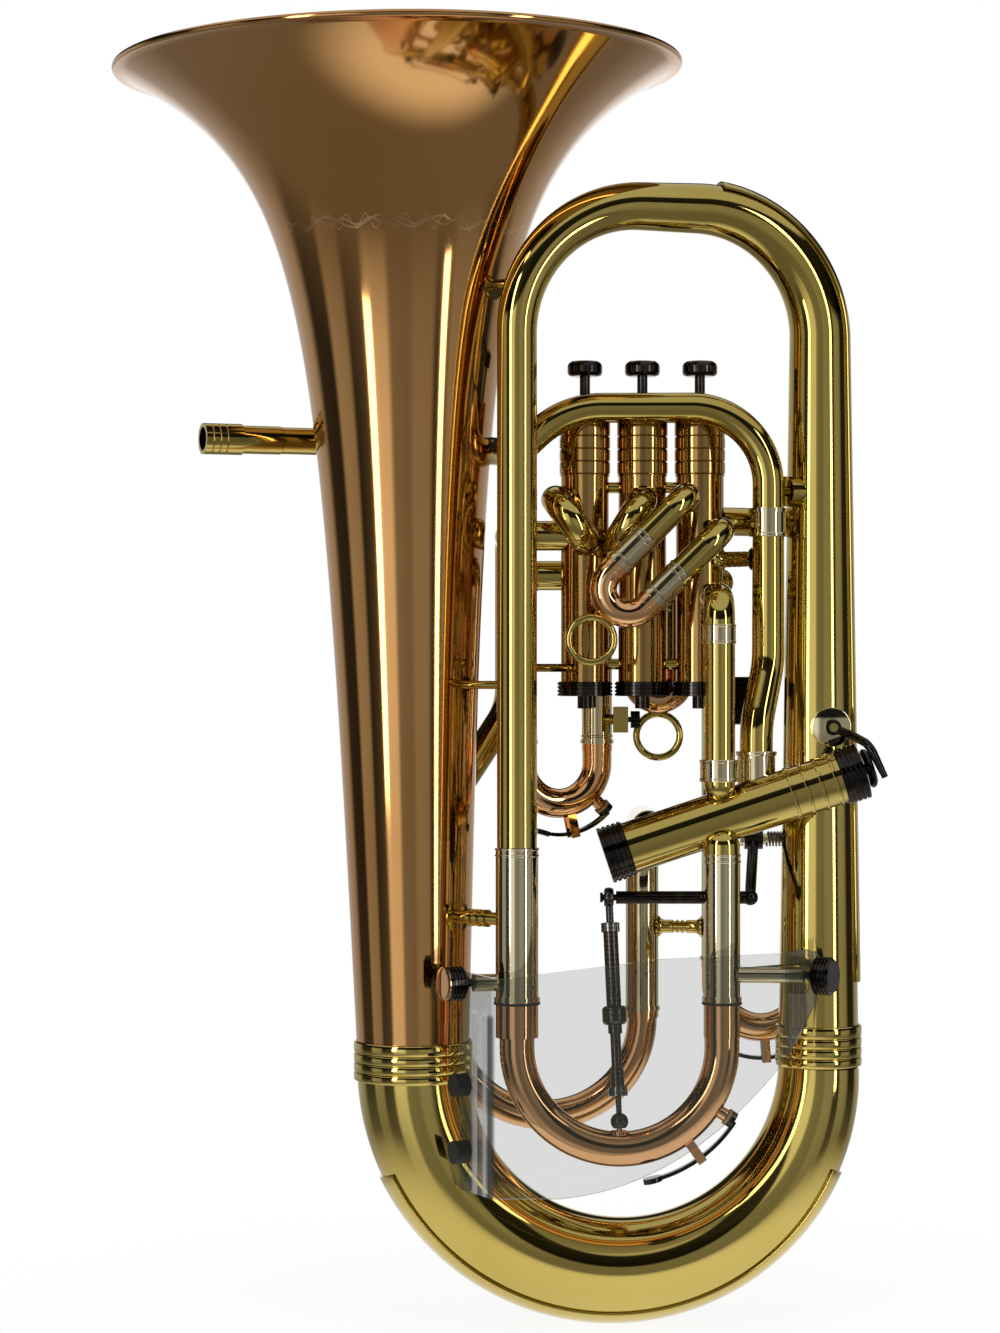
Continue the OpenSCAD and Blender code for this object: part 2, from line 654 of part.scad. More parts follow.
// Trigger: shaft on the branch, lever with its bar, push rod to the crook
trig_x = branch_x - 33.75;
shaft_y = 15;
shaft_z = 257.4;
bar_y = -27;
bar_z = 228.6;
eye_x = -4.7;
module trigger_shaft() {
  color(nickel) difference() {
    translate([trig_x - 7.5, shaft_y, shaft_z]) rotate([0, 90, 0]) {
      cylinder(r = 2.2, h = 32);
      cylinder(r = 4, h = 2);
      translate([0, 0, 12.9]) cylinder(r = 3.2, h = 1);
      translate([0, 0, 24.5]) cylinder(r = 6, h = 6);
    }
    branch_solid(seat);
  }
}
module trigger_spring() {
  color(steel) translate([trig_x + 6.6, shaft_y, shaft_z]) rotate([0, 90, 0])
    coil(3.6, 0.6, 9.8, 5);
}
module trigger_lever() {
  hub = [trig_x, shaft_y, shaft_z];
  foot = [trig_x - 5, bar_y, bar_z];
  color(black) difference() {
    union() {
      translate([trig_x - 5.1, shaft_y, shaft_z]) rotate([0, 90, 0]) cylinder(r = 5.6, h = 10);
      rod(hub, foot, 2.9);
      translate(foot) sphere(4.2, $fn = 32);
      rod([-1, bar_y, bar_z], foot, 3.4);
      rod([-9, bar_y, bar_z], [0, bar_y, bar_z], 1.7);
      rod([-9.4, bar_y, bar_z], [-7.9, bar_y, bar_z], 2.6);
      rod(hub, [trig_x - 2, 29, 322], 2.6);
      translate([trig_x - 2, 30, 332]) rotate([-12, 0, 0]) cube([15, 3.2, 26], center = true);
    }
    translate([trig_x - 15, shaft_y, shaft_z]) rotate([0, 90, 0]) cylinder(r = 2.2 + pin_fit, h = 30);
  }
}
module pushrod() {
  low = [main_x, leg_y, foot_z];
  eye = [eye_x, bar_y, bar_z];
  l = norm(eye - low);
  color(steel) difference() {
    union() {
      along(low, eye) {
        sphere(4.7, $fn = 32);
        cylinder(r = 2.5, h = 52);
        translate([0, 0, 13.2]) knurl(5, 4.3, 18, 0.5);
        translate([0, 0, 21.7]) cylinder(r = 4.4, h = 5.3, $fn = 6);
        translate([0, 0, 34]) cylinder(r = 3.75, h = l - 34 - 17);
        translate([0, 0, 51]) cylinder(r = 6.5, h = 10.5);
        translate([0, 0, l - 17.5]) knurl(5, 5, 18, 0.5);
        translate([0, 0, l - 13]) cylinder(r = 2.5, h = 9);
      }
      translate([eye_x - 2.5, bar_y, bar_z]) rotate([0, 90, 0]) cylinder(r = 5.3, h = 5);
    }
    translate([eye_x - 5, bar_y, bar_z]) rotate([0, 90, 0]) cylinder(r = 3.1, h = 10);
    translate(low) sphere(3, $fn = 32);
    translate(low - [0, 0, 6]) cylinder(r = 2.4, h = 6);
  }
}

// First slide, behind the valves on the left
first_c = [-30.05, 21.25, 298.3];
first_turn = 19.3;
first_low = 308.7;
first_l = [first_c[0] - first_span / 2 * cos(first_turn),
  first_c[1] - first_span / 2 * sin(first_turn)];
first_r = [first_c[0] + first_span / 2 * cos(first_turn),
  first_c[1] + first_span / 2 * sin(first_turn)];
first_left_top = 389.8;
first_right_top = 372;
module first_sleeves() {
  color(nickel) {
    translate([first_l[0], first_l[1], first_low])
      sleeve(sleeve_r, sleeve_r - slide_wall, first_left_top - first_low);
    translate([first_r[0], first_r[1], first_low])
      sleeve(sleeve_r, sleeve_r - slide_wall, first_right_top - first_low);
  }
}
first_pad = -44;
first_hinge = -78;
first_tail = -106;
module first_slide() {
  color(rose_brass) translate(first_c) rotate([0, 0, first_turn]) difference() {
    union() {
      slide_u(first_span, 8, first_low - first_c[2], sleeve_r, first_leg_r, 56);
      key_mount(first_span / 2 + 8, first_pad, first_hinge);
    }
    rotate([-90, 0, 0]) bend(8 - slide_wall, 0.01, first_span / 2, 180);
  }
}
module first_water_key() {
  color(black) translate(first_c) rotate([0, 0, first_turn])
    key_lever(first_span / 2 + 8, first_pad, first_hinge, first_tail);
}

// Second slide with its ring, behind the middle valve
second_c = [24, 28.5, 345];
second_low = 352;
second_top = 385;
module second_sleeves() {
  color(nickel) for (s = [-1, 1]) translate([second_c[0] + s * second_span / 2, second_c[1], second_low])
    tube(8.2, 8.2 - slide_wall, second_top - second_low);
}
module second_slide() {
  color(rose_brass) {
    translate(second_c) slide_u(second_span, 7.9, second_low - second_c[2], 8.2,
      8.2 - slide_wall - slide_fit, 28);
    translate([second_c[0], second_c[1], second_c[2] - second_span / 2 - 7.9 - ring_r + 1.6])
      pull_ring();
  }
}

// Third slide on the right, behind the outer branch
third_c = [80.65, 36, 177.7];
third_low = 190;
third_left_top = 387;
third_right_top = 419;
module third_sleeves() {
  color(nickel) {
    translate([third_c[0] - third_span / 2, third_c[1], third_low])
      sleeve(7.9, 7.9 - slide_wall, third_left_top - third_low);
    translate([third_c[0] + third_span / 2, third_c[1], third_low])
      sleeve(7.9, 7.9 - slide_wall, third_right_top - third_low);
  }
}
third_pad = -62;
third_hinge = -86;
third_tail = -116;
module third_slide() {
  color(rose_brass) translate(third_c) difference() {
    union() {
      slide_u(third_span, 7.7, third_low - third_c[2], 7.9, 7.9 - slide_wall - slide_fit, 90);
      key_mount(third_span / 2 + 7.7, third_pad, third_hinge);
    }
    rotate([-90, 0, 0]) bend(7.7 - slide_wall, 0.01, third_span / 2, 180);
  }
}
module third_water_key() {
  color(black) translate(third_c)
    key_lever(third_span / 2 + 7.7, third_pad, third_hinge, third_tail);
}

// Fourth slide, wide, behind the tuning slide and the bell
fourth_c = [-37.5, 44, 157.5];
fourth_low = 161.8;
fourth_left_top = 250;
fourth_right_top = 256;
module fourth_sleeves() {
  color(nickel) {
    translate([fourth_c[0] - fourth_span / 2, fourth_c[1], fourth_low])
      sleeve(9.05, 9.05 - slide_wall, fourth_left_top - fourth_low);
    translate([fourth_c[0] + fourth_span / 2, fourth_c[1], fourth_low])
      sleeve(9.05, 9.05 - slide_wall, fourth_right_top - fourth_low);
  }
}
module fourth_slide() {
  color(rose_brass) translate(fourth_c)
    slide_u(fourth_span, 8.2, fourth_low - fourth_c[2], 9.05, 9.05 - slide_wall - slide_fit, 76);
}
fourth_route = route([[fourth_c[0] - fourth_span / 2, fourth_c[1], fourth_left_top + 0.3],
  [fourth_c[0] - fourth_span / 2, fourth_c[1], 276], [-57, fourth_c[1], 328],
  [-57, fourth_c[1], 421], [-57, valve_y - 2, 421], [valve_x - casing_r - 0.3, valve_y - 2, 421]],
  [36, 36, 14, 14], 12);
module fourth_branch() {
  color(brass) swept_tube(fourth_route, [for (p = fourth_route) 8.1], slide_wall, [0, 1, 0], 14);
}

// Slanted front slide on the third valve
front_c = [5.05, -38, 391.2];
front_low = 5.5;
module at_front() {
  translate(front_c) rotate([0, 45, 0]) children();
}
module front_sleeves() {
  color(nickel) at_front() for (s = [-1, 1]) translate([s * front_span / 2, 0, front_low])
    sleeve(7.5, 7.5 - slide_wall, 22);
}
module front_slide() {
  color(rose_brass) at_front() {
    slide_u(front_span, 7.2, front_low, 7.5, 7.5 - slide_wall - slide_fit, 20);
    rotate([0, -45, 0]) translate([-0.59, 0, -0.807] * (front_span / 2 + 6 + ring_r)) pull_ring();
  }
}

// Brass tubes between the slides and the valves
module cut_casing(i) {
  difference() {
    children();
    casing_solid(i, seat);
  }
}
module cut_side() {
  difference() {
    children();
    side_solid(seat);
  }
}
module valve_knuckles() {
  color(brass) {
    cut_casing(0) translate([first_l[0], first_l[1], first_left_top + seat]) {
      rotate([0, 0, -90]) elbow(8, 7.3, 10);
      translate([10, 0, 10]) rotate([0, 90, 0]) tube(8, 7.3, 18);
    }
    cut_casing(0) translate([first_r[0], first_r[1], first_right_top + seat]) {
      rotate([0, 0, 180]) elbow(8, 7.3, 9);
      translate([0, -9, 9]) rotate([90, 0, 0]) tube(8, 7.3, 8);
    }
    for (i = [1, 2]) cut_casing(i)
      translate([second_c[0] + (2 * i - 3) * second_span / 2, second_c[1], second_top + seat]) {
        rotate([0, 0, 180]) elbow(7.9, 7.2, 9);
        translate([0, -9, 9]) rotate([90, 0, 0]) tube(7.9, 7.2, 8);
      }
    cut_casing(2) translate([third_c[0] - third_span / 2, third_c[1], third_left_top + seat]) {
      rotate([0, 0, 180]) elbow(7.7, 7, 9);
      translate([0, -9, 9]) rotate([90, 0, 0]) tube(7.7, 7, 18);
    }
    cut_casing(2) translate([third_c[0] + third_span / 2, third_c[1], third_right_top + seat])
      rotate([0, 0, 117.7]) {
        elbow(7.7, 7, 10);
        translate([0, 10, 10]) rotate([-90, 0, 0]) tube(7.7, 7, 46);
      }
    for (s = [-1, 1]) cut_casing(2)
      at_front() translate([s * front_span / 2, 0, front_low + 22 + seat]) {
        tube(7.2, 6.5, 18.5);
        translate([0, 0, 18.5]) elbow(7.2, 6.5, 11);
        translate([0, 11, 29.5]) rotate([-90, 0, 0]) tube(7.2, 6.5, 26);
      }
    cut_casing(0) front_crook([-32.6, 439.6], [-16.7, 417.4]);
    cut_casing(0) cut_casing(1) front_crook([0.2, 416.9], [13.97, 439.6]);
    cut_side() translate([fourth_c[0] + fourth_span / 2, fourth_c[1], fourth_right_top + seat]) {
      rotate([0, 0, 180]) elbow(8.8, 8.1, 10);
      translate([0, -10, 10]) rotate([90, 0, 0]) tube(8.8, 8.1, 66);
    }
    cut_side() translate([main_right_x, leg_y, main_low_z + 77 + seat]) {
      tube(9.4, 8.6, 3.8);
      translate([0, 0, 3.8]) difference() {
        sphere(9.4);
        sphere(8.6);
        translate([-20, -20, -40]) cube([40, 40, 40]);
      }
    }
  }
}
// A short front crook: two legs that run back into the casings
module front_crook(a, b) {
  m = (a + b) / 2;
  d = b - a;
  w = -atan2(d[1], d[0]);
  r = 7.9;
  ri = r - slide_wall;
  translate([m[0], crook_y, m[1]]) rotate([0, w, 0]) rotate([-90, 0, 0]) {
    u_bend(norm(d), r, ri);
    translate([-norm(d) / 2, 0, seat]) rotate([0, 0, atan2(-cos(w), -sin(w))]) elbow(r, ri, 9);
    translate([norm(d) / 2, 0, 0]) tube(r, ri, 12);
  }
}
crook_y = -9.4;

// Front tube from the third valve down to the side valve
link_x = 52.55;
link_z = 387;
module valve_link() {
  color(brass) difference() {
    union() {
      translate([link_x, leg_y + 14, link_z]) rotate([-90, 0, 0]) tube(8.2, 7.4, 30);
      translate([link_x, leg_y, link_z - 14]) elbow(8.2, 7.4, 14);
      translate([link_x, leg_y, 288.8]) tube(8.2, 7.4, link_z - 14 - 288.8);
      translate([link_x, leg_y, 290.5]) tube(10, 7.4, 11.5);
      translate([link_x, leg_y, 288.8]) difference() {
        sphere(8.2);
        sphere(7.4);
        translate([-20, -20, 0]) cube([40, 40, 40]);
      }
    }
    casing_solid(2, seat);
    side_solid(seat);
  }
}

// Posts and flanges that tie the tubes together
function on_bell(z) = [bell_x - (z - bell_low_z) * tan(bell_lean), 0, z];
function bell_at(z) = bell_r(bell_length - (z - bell_low_z));
module braces() {
  leg = [leg_x, leg_y, 0];
  up = [0, 0, 1];
  color(brass) difference() {
    union() {
      post(on_bell(552), bell_at(552) - 2, [-48.3, -43.6, 552], 11.6, 2.5, 8);
      post(on_bell(341), bell_at(341) - 2, leg + up * 341, leg_r, 2.2, 5);
      post(on_bell(218), bell_at(218) - 2, leg + up * 218, main_left_r, 3.4, 9);
      for (i = [0:2]) let (d = unit(leg + up * 218 - on_bell(218)))
        rod(on_bell(218) + d * (bell_at(218) + 8 + 5 * i),
          on_bell(218) + d * (bell_at(218) + 10 + 5 * i), 4.6);
      post(leg + up * 350, leg_r, [valve_x, valve_y, 350], casing_r - 1, 2.2, 4);
      post([lead_x, lead_y, 444], 8.8, [branch_x, 0, 444], branch_r(444) - 2, 2.6);
      post([branch_x, 0, 444], branch_r(444) - 2, [lead_x, lead_y, 444], 11, 8);
      post([fourth_c[0] + fourth_span / 2, fourth_c[1], 208], 9.05,
        [third_c[0] - third_span / 2, third_c[1], 208], 7.9, 2.6);
      post([fourth_c[0] - fourth_span / 2, fourth_c[1], 232], 9.05, on_bell(232), bell_at(232) - 1, 3);
      post([third_c[0] + third_span / 2, third_c[1], 300], 7.9, [branch_x, 0, 300], branch_r(300) - 2, 3);
      post([main_right_x, leg_y, 189], main_right_r, [branch_x, 0, 189], branch_r(189) - 2, 3.4, 5);
      post(wrap_end + receiver_out * 12, 7.7, on_bell(lead_z), bell_at(lead_z) - 2, 3, 5);
      for (i = [0, 1], z = [352, 447])
        rod([valves_x[i] + 8, valve_y, z], [valves_x[i + 1] - 8, valve_y, z], 3);
      rod([branch_x, -26, 289], [branch_x, -15, 289], 5);
      rod([lead_x - 5, lead_y + 5, 408], [valves_x[2] + 6, valve_y - 3, 408], 3.4);
      rod([hook_x, -24, hook_z], [hook_x, -12, hook_z], 10.5);
      rod([hook_x, -28, hook_z], [hook_x, -12, hook_z], 3.4);
      rod([hook_x, -35.5, hook_z], [hook_x, -20, hook_z], 1.6);
      rod([hook_x, -35.5, hook_z], [hook_x, -34.4, hook_z], 2.3);
    }
    bell_solid(seat);
    branch_solid(seat);
    casings_solid(seat);
    side_solid(0.5 + seat);
    translate([lead_x, lead_y, 400]) cylinder(r = 8.9, h = 18);
  }
}

// Hook that holds the side valve down, set back from the end of that valve's cap
hook_back = 15.03927;
hook_rise = 22.36219;
hook_x = side_x + side_length * cos(side_tilt) - hook_back;
hook_z = side_z + side_length * sin(side_tilt) + hook_rise;
module valve_hook() {
  p = route([[hook_x + 1.5, -31, hook_z - 1], [hook_x + 9.2, -36.4, hook_z - 4],
    [hook_x + 16.6, -52.5, hook_z - 8.6], [hook_x + 25, -52.5, hook_z - 25.6]], [8, 8], 20);
  color(black) difference() {
    union() {
      rod([hook_x, -33.9, hook_z], [hook_x, -28.4, hook_z], 4.2);
      swept_rod(p, [for (i = [0:len(p) - 1]) 2.3], [0, 1, 0], 10);
    }
    rod([hook_x, -40, hook_z], [hook_x, -20, hook_z], 1.6 + pin_fit);
  }
}

// Clear guard in front of the tuning slide
guard_left = -64.8;
guard_right = 84.5;
left_dir = [-0.45, 0.893, 0];
right_dir = [0.48, 0.877, 0];
left_end = [guard_left, guard_y, 0] + left_dir * 36;
right_end = [guard_right, guard_y, 0] + right_dir * 40;
left_seat = [guard_left, guard_y, 185.5] + left_dir * 27;
right_seat = [guard_right, guard_y, 189.5] + right_dir * 27;
left_out = [-0.893, -0.45, 0];
right_out = [0.877, -0.48, 0];
function curve(a, b, c, n) = [for (i = [0:n]) let (t = i / n)
  (1 - t) * (1 - t) * a + 2 * t * (1 - t) * b + t * t * c];
module guard_plan() {
  l = [left_end[0], left_end[1]];
  r = [right_end[0], right_end[1]];
  lo = [left_out[0], left_out[1]] * guard_t;
  ro = [right_out[0], right_out[1]] * guard_t;
  polygon([l, [guard_left, guard_y], [guard_right, guard_y], r, r + ro,
    [guard_right + guard_t * 0.6, guard_y - guard_t], [guard_left - guard_t * 0.6, guard_y - guard_t],
    l + lo]);
}
module guard_outline() {
  polygon(concat([[-100, 192], [-60, 190], [20, 200], [96, 204], [104, 201], [108, 195], [108, 184]],
    curve([104, 176], [46, 84], [-31, 76.8], 14), [[-100, 76.8]]));
}
module guard_plate() {
  color(clear) difference() {
    intersection() {
      translate([0, 0, 60]) linear_extrude(160) guard_plan();
      rotate([90, 0, 0]) translate([0, 0, 20]) linear_extrude(80) guard_outline();
    }
    rod(left_seat - left_out * 10, left_seat + left_out * 10, 2.5);
    rod(right_seat - right_out * 10, right_seat + right_out * 10, 2.5);
  }
}
module guard_arms() {
  color(nickel) difference() {
    union() {
      rod([leg_x - 6, leg_y, 185.5], left_seat - left_out * 0.4, 4.6);
      rod([main_right_x + 4, leg_y - 1, 189.5], right_seat - right_out * 0.4, 4.2);
    }
    translate([leg_x, leg_y, 150]) cylinder(r = main_left_r + seat, h = 80);
    translate([main_right_x, leg_y, 150]) cylinder(r = main_right_r + seat, h = 80);
    rod(left_seat - left_out * 8, left_seat + left_out * 10, 2 + pin_fit);
    rod(right_seat - right_out * 8, right_seat + right_out * 10, 2 + pin_fit);
    rod(left_seat - left_out * 0.3, left_seat + left_out * 10, 9);
    rod(right_seat - right_out * 0.3, right_seat + right_out * 10, 9);
  }
}
module guard_bumpers() {
  out = left_out * (guard_t + 0.1);
  color(black) for (z = [97.5, 132.5]) let (p = [left_seat[0], left_seat[1], z] + out)
    rod(p, p + left_out * 8, 6);
}
module guard_knob(p, out, r) {
  rod(p - out * 7, p + out * (guard_t + 6), 2);
  along(p + out * (guard_t + gap), p + out * 20) {
    cylinder(r = 4, h = 3);
    translate([0, 0, 3]) grooved(r, 8, 4, 0.6);
    translate([0, 0, 11]) cylinder(r1 = r - 0.6, r2 = r - 1.6, h = 1.4);
  }
}
module guard_knob_left() color(black) guard_knob(left_seat, left_out, 9);
module guard_knob_right() color(black) guard_knob(right_seat, right_out, 10);

// Lyre socket on the first slide sleeve
lyre_c = [3, 14.6, 322];
module lyre_box() {
  color(brass) difference() {
    union() {
      translate(lyre_c) cube([8, 8, 14], center = true);
      rod([first_r[0] + 4, first_r[1] - 5, lyre_c[2]], lyre_c, 2.8);
    }
    translate(lyre_c) cube([5, 5, 20], center = true);
    translate([first_r[0], first_r[1], 300]) cylinder(r = sleeve_r + seat, h = 60);
    translate(lyre_c) rotate([0, 90, 0]) cylinder(r = 1.5 + pin_fit, h = 10);
  }
}
module lyre_screw() {
  color(black) translate(lyre_c) rotate([0, 90, 0]) {
    translate([0, 0, 2.7]) cylinder(r = 1.5, h = 4);
    translate([0, 0, 5.4]) knurl(4.6, 5, 18, 0.5);
  }
}

bell();
bow_ferrules();
bottom_bow();
bow_guard();
outer_branch();
top_bow();
branch_guard();
main_sleeves();
leadpipe();
receiver();
leadpipe_ferrules();
casing_1();
casing_2();
casing_3();
casing_4();
top_caps();
bottom_caps();
side_caps();
valve_knuckles();
valve_link();
first_sleeves();
second_sleeves();
third_sleeves();
fourth_sleeves();
front_sleeves();
fourth_branch();
braces();
guard_plate();
guard_arms();
guard_bumpers();
lyre_box();
trigger_shaft();
trigger_spring();
piston_1();
piston_2();
piston_3();
piston_4();
button_1();
button_2();
button_3();
button_4();
spring_1();
spring_2();
spring_3();
spring_4();
main_slide();
trigger_lever();
pushrod();
first_slide();
second_slide();
third_slide();
fourth_slide();
front_slide();
main_water_key();
first_water_key();
third_water_key();
valve_hook();
lyre_screw();
guard_knob_left();
guard_knob_right();
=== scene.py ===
import json
import math
import bpy
from mathutils import Matrix, Vector


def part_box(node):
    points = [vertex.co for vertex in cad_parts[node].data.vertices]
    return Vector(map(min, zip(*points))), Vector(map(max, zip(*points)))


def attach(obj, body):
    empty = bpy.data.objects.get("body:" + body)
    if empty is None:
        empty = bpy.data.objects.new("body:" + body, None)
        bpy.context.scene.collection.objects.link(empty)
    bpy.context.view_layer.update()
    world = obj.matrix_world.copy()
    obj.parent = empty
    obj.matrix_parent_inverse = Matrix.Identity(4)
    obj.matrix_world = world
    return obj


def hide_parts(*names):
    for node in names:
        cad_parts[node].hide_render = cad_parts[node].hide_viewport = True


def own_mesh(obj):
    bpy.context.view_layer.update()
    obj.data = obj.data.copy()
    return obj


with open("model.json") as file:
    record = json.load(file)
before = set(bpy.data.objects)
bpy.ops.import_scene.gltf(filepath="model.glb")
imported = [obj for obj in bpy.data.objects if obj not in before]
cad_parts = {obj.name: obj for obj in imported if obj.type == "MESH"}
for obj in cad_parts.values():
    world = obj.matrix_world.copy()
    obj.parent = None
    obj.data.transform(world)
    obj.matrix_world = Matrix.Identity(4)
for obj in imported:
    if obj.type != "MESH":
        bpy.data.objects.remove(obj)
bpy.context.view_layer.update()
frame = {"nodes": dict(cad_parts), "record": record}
scene = bpy.context.scene
scene.view_settings.view_transform = "Standard"
mm = 0.001
print("frame loaded,", len(frame["nodes"]), "nodes")

# Places that several pieces share, in mm
horn = {"reach": 108.75, "frontY": -45.0, "leadX": 80.15, "leadY": -19.5}  # reach: bell's and branch's axes
sleeves = {"mainLeft": {"x": -53.35, "y": horn["frontY"], "top": 255.9, "r": 11.25},
           "mainRight": {"x": 53.85, "y": horn["frontY"], "top": 252.7, "r": 9.6},
           "firstLeft": {"x": -50.75, "y": 14.0, "top": 389.8, "r": 8.3},
           "firstRight": {"x": -9.35, "y": 28.5, "top": 372.0, "r": 8.3},
           "secondLeft": {"x": 12.0, "y": 28.5, "top": 385.0, "r": 8.2},
           "secondRight": {"x": 36.0, "y": 28.5, "top": 385.0, "r": 8.2},
           "thirdLeft": {"x": 56.0, "y": 36.0, "top": 387.0, "r": 7.9},
           "thirdRight": {"x": 105.3, "y": 36.0, "top": 419.0, "r": 7.9},
           "fourthLeft": {"x": -90.9, "y": 44.0, "top": 250.0, "r": 9.05},
           "fourthRight": {"x": 15.9, "y": 44.0, "top": 256.0, "r": 9.05}}


def between(left, right):  # x and y midway between two sleeves, mm
    return [(sleeves[left][axis] + sleeves[right][axis]) / 2 for axis in ("x", "y")]


def boxOf(node):  # low and high corner of a solid, mm
    return [Vector(corner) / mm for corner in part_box(node)]


def linear(hexText):  # sRGB hex to linear RGBA
    parts = [int(hexText[i:i + 2], 16) / 255 for i in (1, 3, 5)]
    return tuple(c / 12.92 if c <= 0.04045 else ((c + 0.055) / 1.055) ** 2.4 for c in parts) + (1.0,)


def addNode(tree, kind, inputs=None, **settings):  # a node; inputs hold values, sockets or nodes
    made = tree.nodes.new(kind)
    for key, value in settings.items():
        setattr(made, key, value)
    for key, value in (inputs or {}).items():
        if isinstance(value, bpy.types.Node):
            value = value.outputs[0]
        if isinstance(value, bpy.types.NodeSocket):
            tree.links.new(value, made.inputs[key])
        else:
            made.inputs[key].default_value = value
    return made


def newMaterial(name):  # an empty material, its nodes and the place on the piece
    made = bpy.data.materials.new(name)
    made.use_nodes = True
    made.node_tree.nodes.clear()
    return made, made.node_tree, addNode(made.node_tree, "ShaderNodeTexCoord").outputs["Object"]


def setRamp(ramp, stops):
    band = ramp.color_ramp
    while len(band.elements) < len(stops):
        band.elements.new(0.5)
    for element, (place, colour) in zip(band.elements, stops):
        element.position = place
        element.color = colour


def greyStops(tones):  # ramp stops of plain grey
    return [(place, (tone, tone, tone, 1)) for place, tone in tones]


def deselectAll():
    if bpy.context.object and bpy.context.object.mode != "OBJECT":
        bpy.ops.object.mode_set(mode="OBJECT")
    bpy.ops.object.select_all(action="DESELECT")


def choose(obj):
    deselectAll()
    obj.select_set(True)
    bpy.context.view_layer.objects.active = obj


def useModifier(obj, kind, **settings):
    choose(obj)
    made = obj.modifiers.new(kind.lower(), kind)
    for key, value in settings.items():
        setattr(made, key, value)
    bpy.ops.object.modifier_apply(modifier=made.name)


def finishPiece(obj, material, body="horn", smooth=30):  # finish, soft shading and body
    choose(obj)
    obj.data.materials.clear()
    obj.data.materials.append(material)
    bpy.ops.object.shade_smooth_by_angle(angle=math.radians(smooth))
    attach(obj, body)
    deselectAll()
    return obj


# Polished brass under clear lacquer: a mirror with a faint haze and slow changes of tint
brassFinishes = {
    "gold_brass": {"name": "GoldBrassLacquered", "light": "#D6A263", "deep": "#C99355", "rough": 0.08},
    "yellow_brass": {"name": "YellowBrassLacquered", "light": "#D0BA66", "deep": "#C0A752", "rough": 0.06},
    "rose_brass": {"name": "RoseBrassLacquered", "light": "#F2BE88", "deep": "#E8AE76", "rough": 0.07},
    "casing_brass": {"name": "CasingBrassLacquered", "light": "#B48F52", "deep": "#9E7B42", "rough": 0.07},
    "nickel_silver": {"name": "NickelSilverPolished", "light": "#DACDA8", "deep": "#CDBE97", "rough": 0.06},
}
tintPatch = 120  # mm, size of a slow change of tint
hazeGrain = 0.9  # mm, polishing haze, drawn coarser than the real one so that it shows
hazeLow, hazeHigh = 0.6, 1.4  # share of a finish's roughness in clear and in hazy spots

# Engraved scroll around the bell: a vine of crossing waves, cut into the lacquered surface
scroll = {"z": 581.0, "axisX": -115.7, "waves": 14, "swing": 3.6, "line": 0.6, "wornPatch": 14,
    "cut": "#EAD3A6", "cutRough": 0.3}
vines = ((1, 0.0, 0.8), (2, 0.8, 0.45), (3, 2.0, 1.0))  # times the waves, start, share of the swing


def engravedScroll(tree, place):  # how strongly a cut line shows, 0 beside it
    axes = addNode(tree, "ShaderNodeSeparateXYZ", {"Vector": place})
    across = addNode(tree, "ShaderNodeMath", {0: axes.outputs["X"], 1: -scroll["axisX"] * mm},
        operation="ADD")
    angle = addNode(tree, "ShaderNodeMath", {0: axes.outputs["Y"], 1: across}, operation="ARCTAN2")
    height = addNode(tree, "ShaderNodeMath", {0: axes.outputs["Z"], 1: 1 / mm, 2: -scroll["z"]},
        operation="MULTIPLY_ADD")
    cut = 0.0
    for times, start, share in vines:
        phase = addNode(tree, "ShaderNodeMath", {0: angle, 1: scroll["waves"] * times, 2: start},
            operation="MULTIPLY_ADD")
        wave = addNode(tree, "ShaderNodeMath", {0: phase}, operation="SINE")
        off = addNode(tree, "ShaderNodeMath", {0: wave, 1: -scroll["swing"] * share, 2: height},
            operation="MULTIPLY_ADD")
        gap = addNode(tree, "ShaderNodeMath", {0: off}, operation="ABSOLUTE")
        line = addNode(tree, "ShaderNodeMapRange", {"Value": gap, "From Min": scroll["line"] * 0.5,
            "From Max": scroll["line"], "To Min": 1.0, "To Max": 0.0})
        cut = addNode(tree, "ShaderNodeMath", {0: cut, 1: line}, operation="MAXIMUM")
    worn = addNode(tree, "ShaderNodeTexNoise", {"Vector": place, "Scale": 1000 / scroll["wornPatch"],
        "Detail": 1.0})
    kept = addNode(tree, "ShaderNodeMapRange", {"Value": worn, "From Min": 0.35, "From Max": 0.6,
        "To Min": 0.05, "To Max": 0.5})
    return addNode(tree, "ShaderNodeMath", {0: cut, 1: kept}, operation="MULTIPLY")


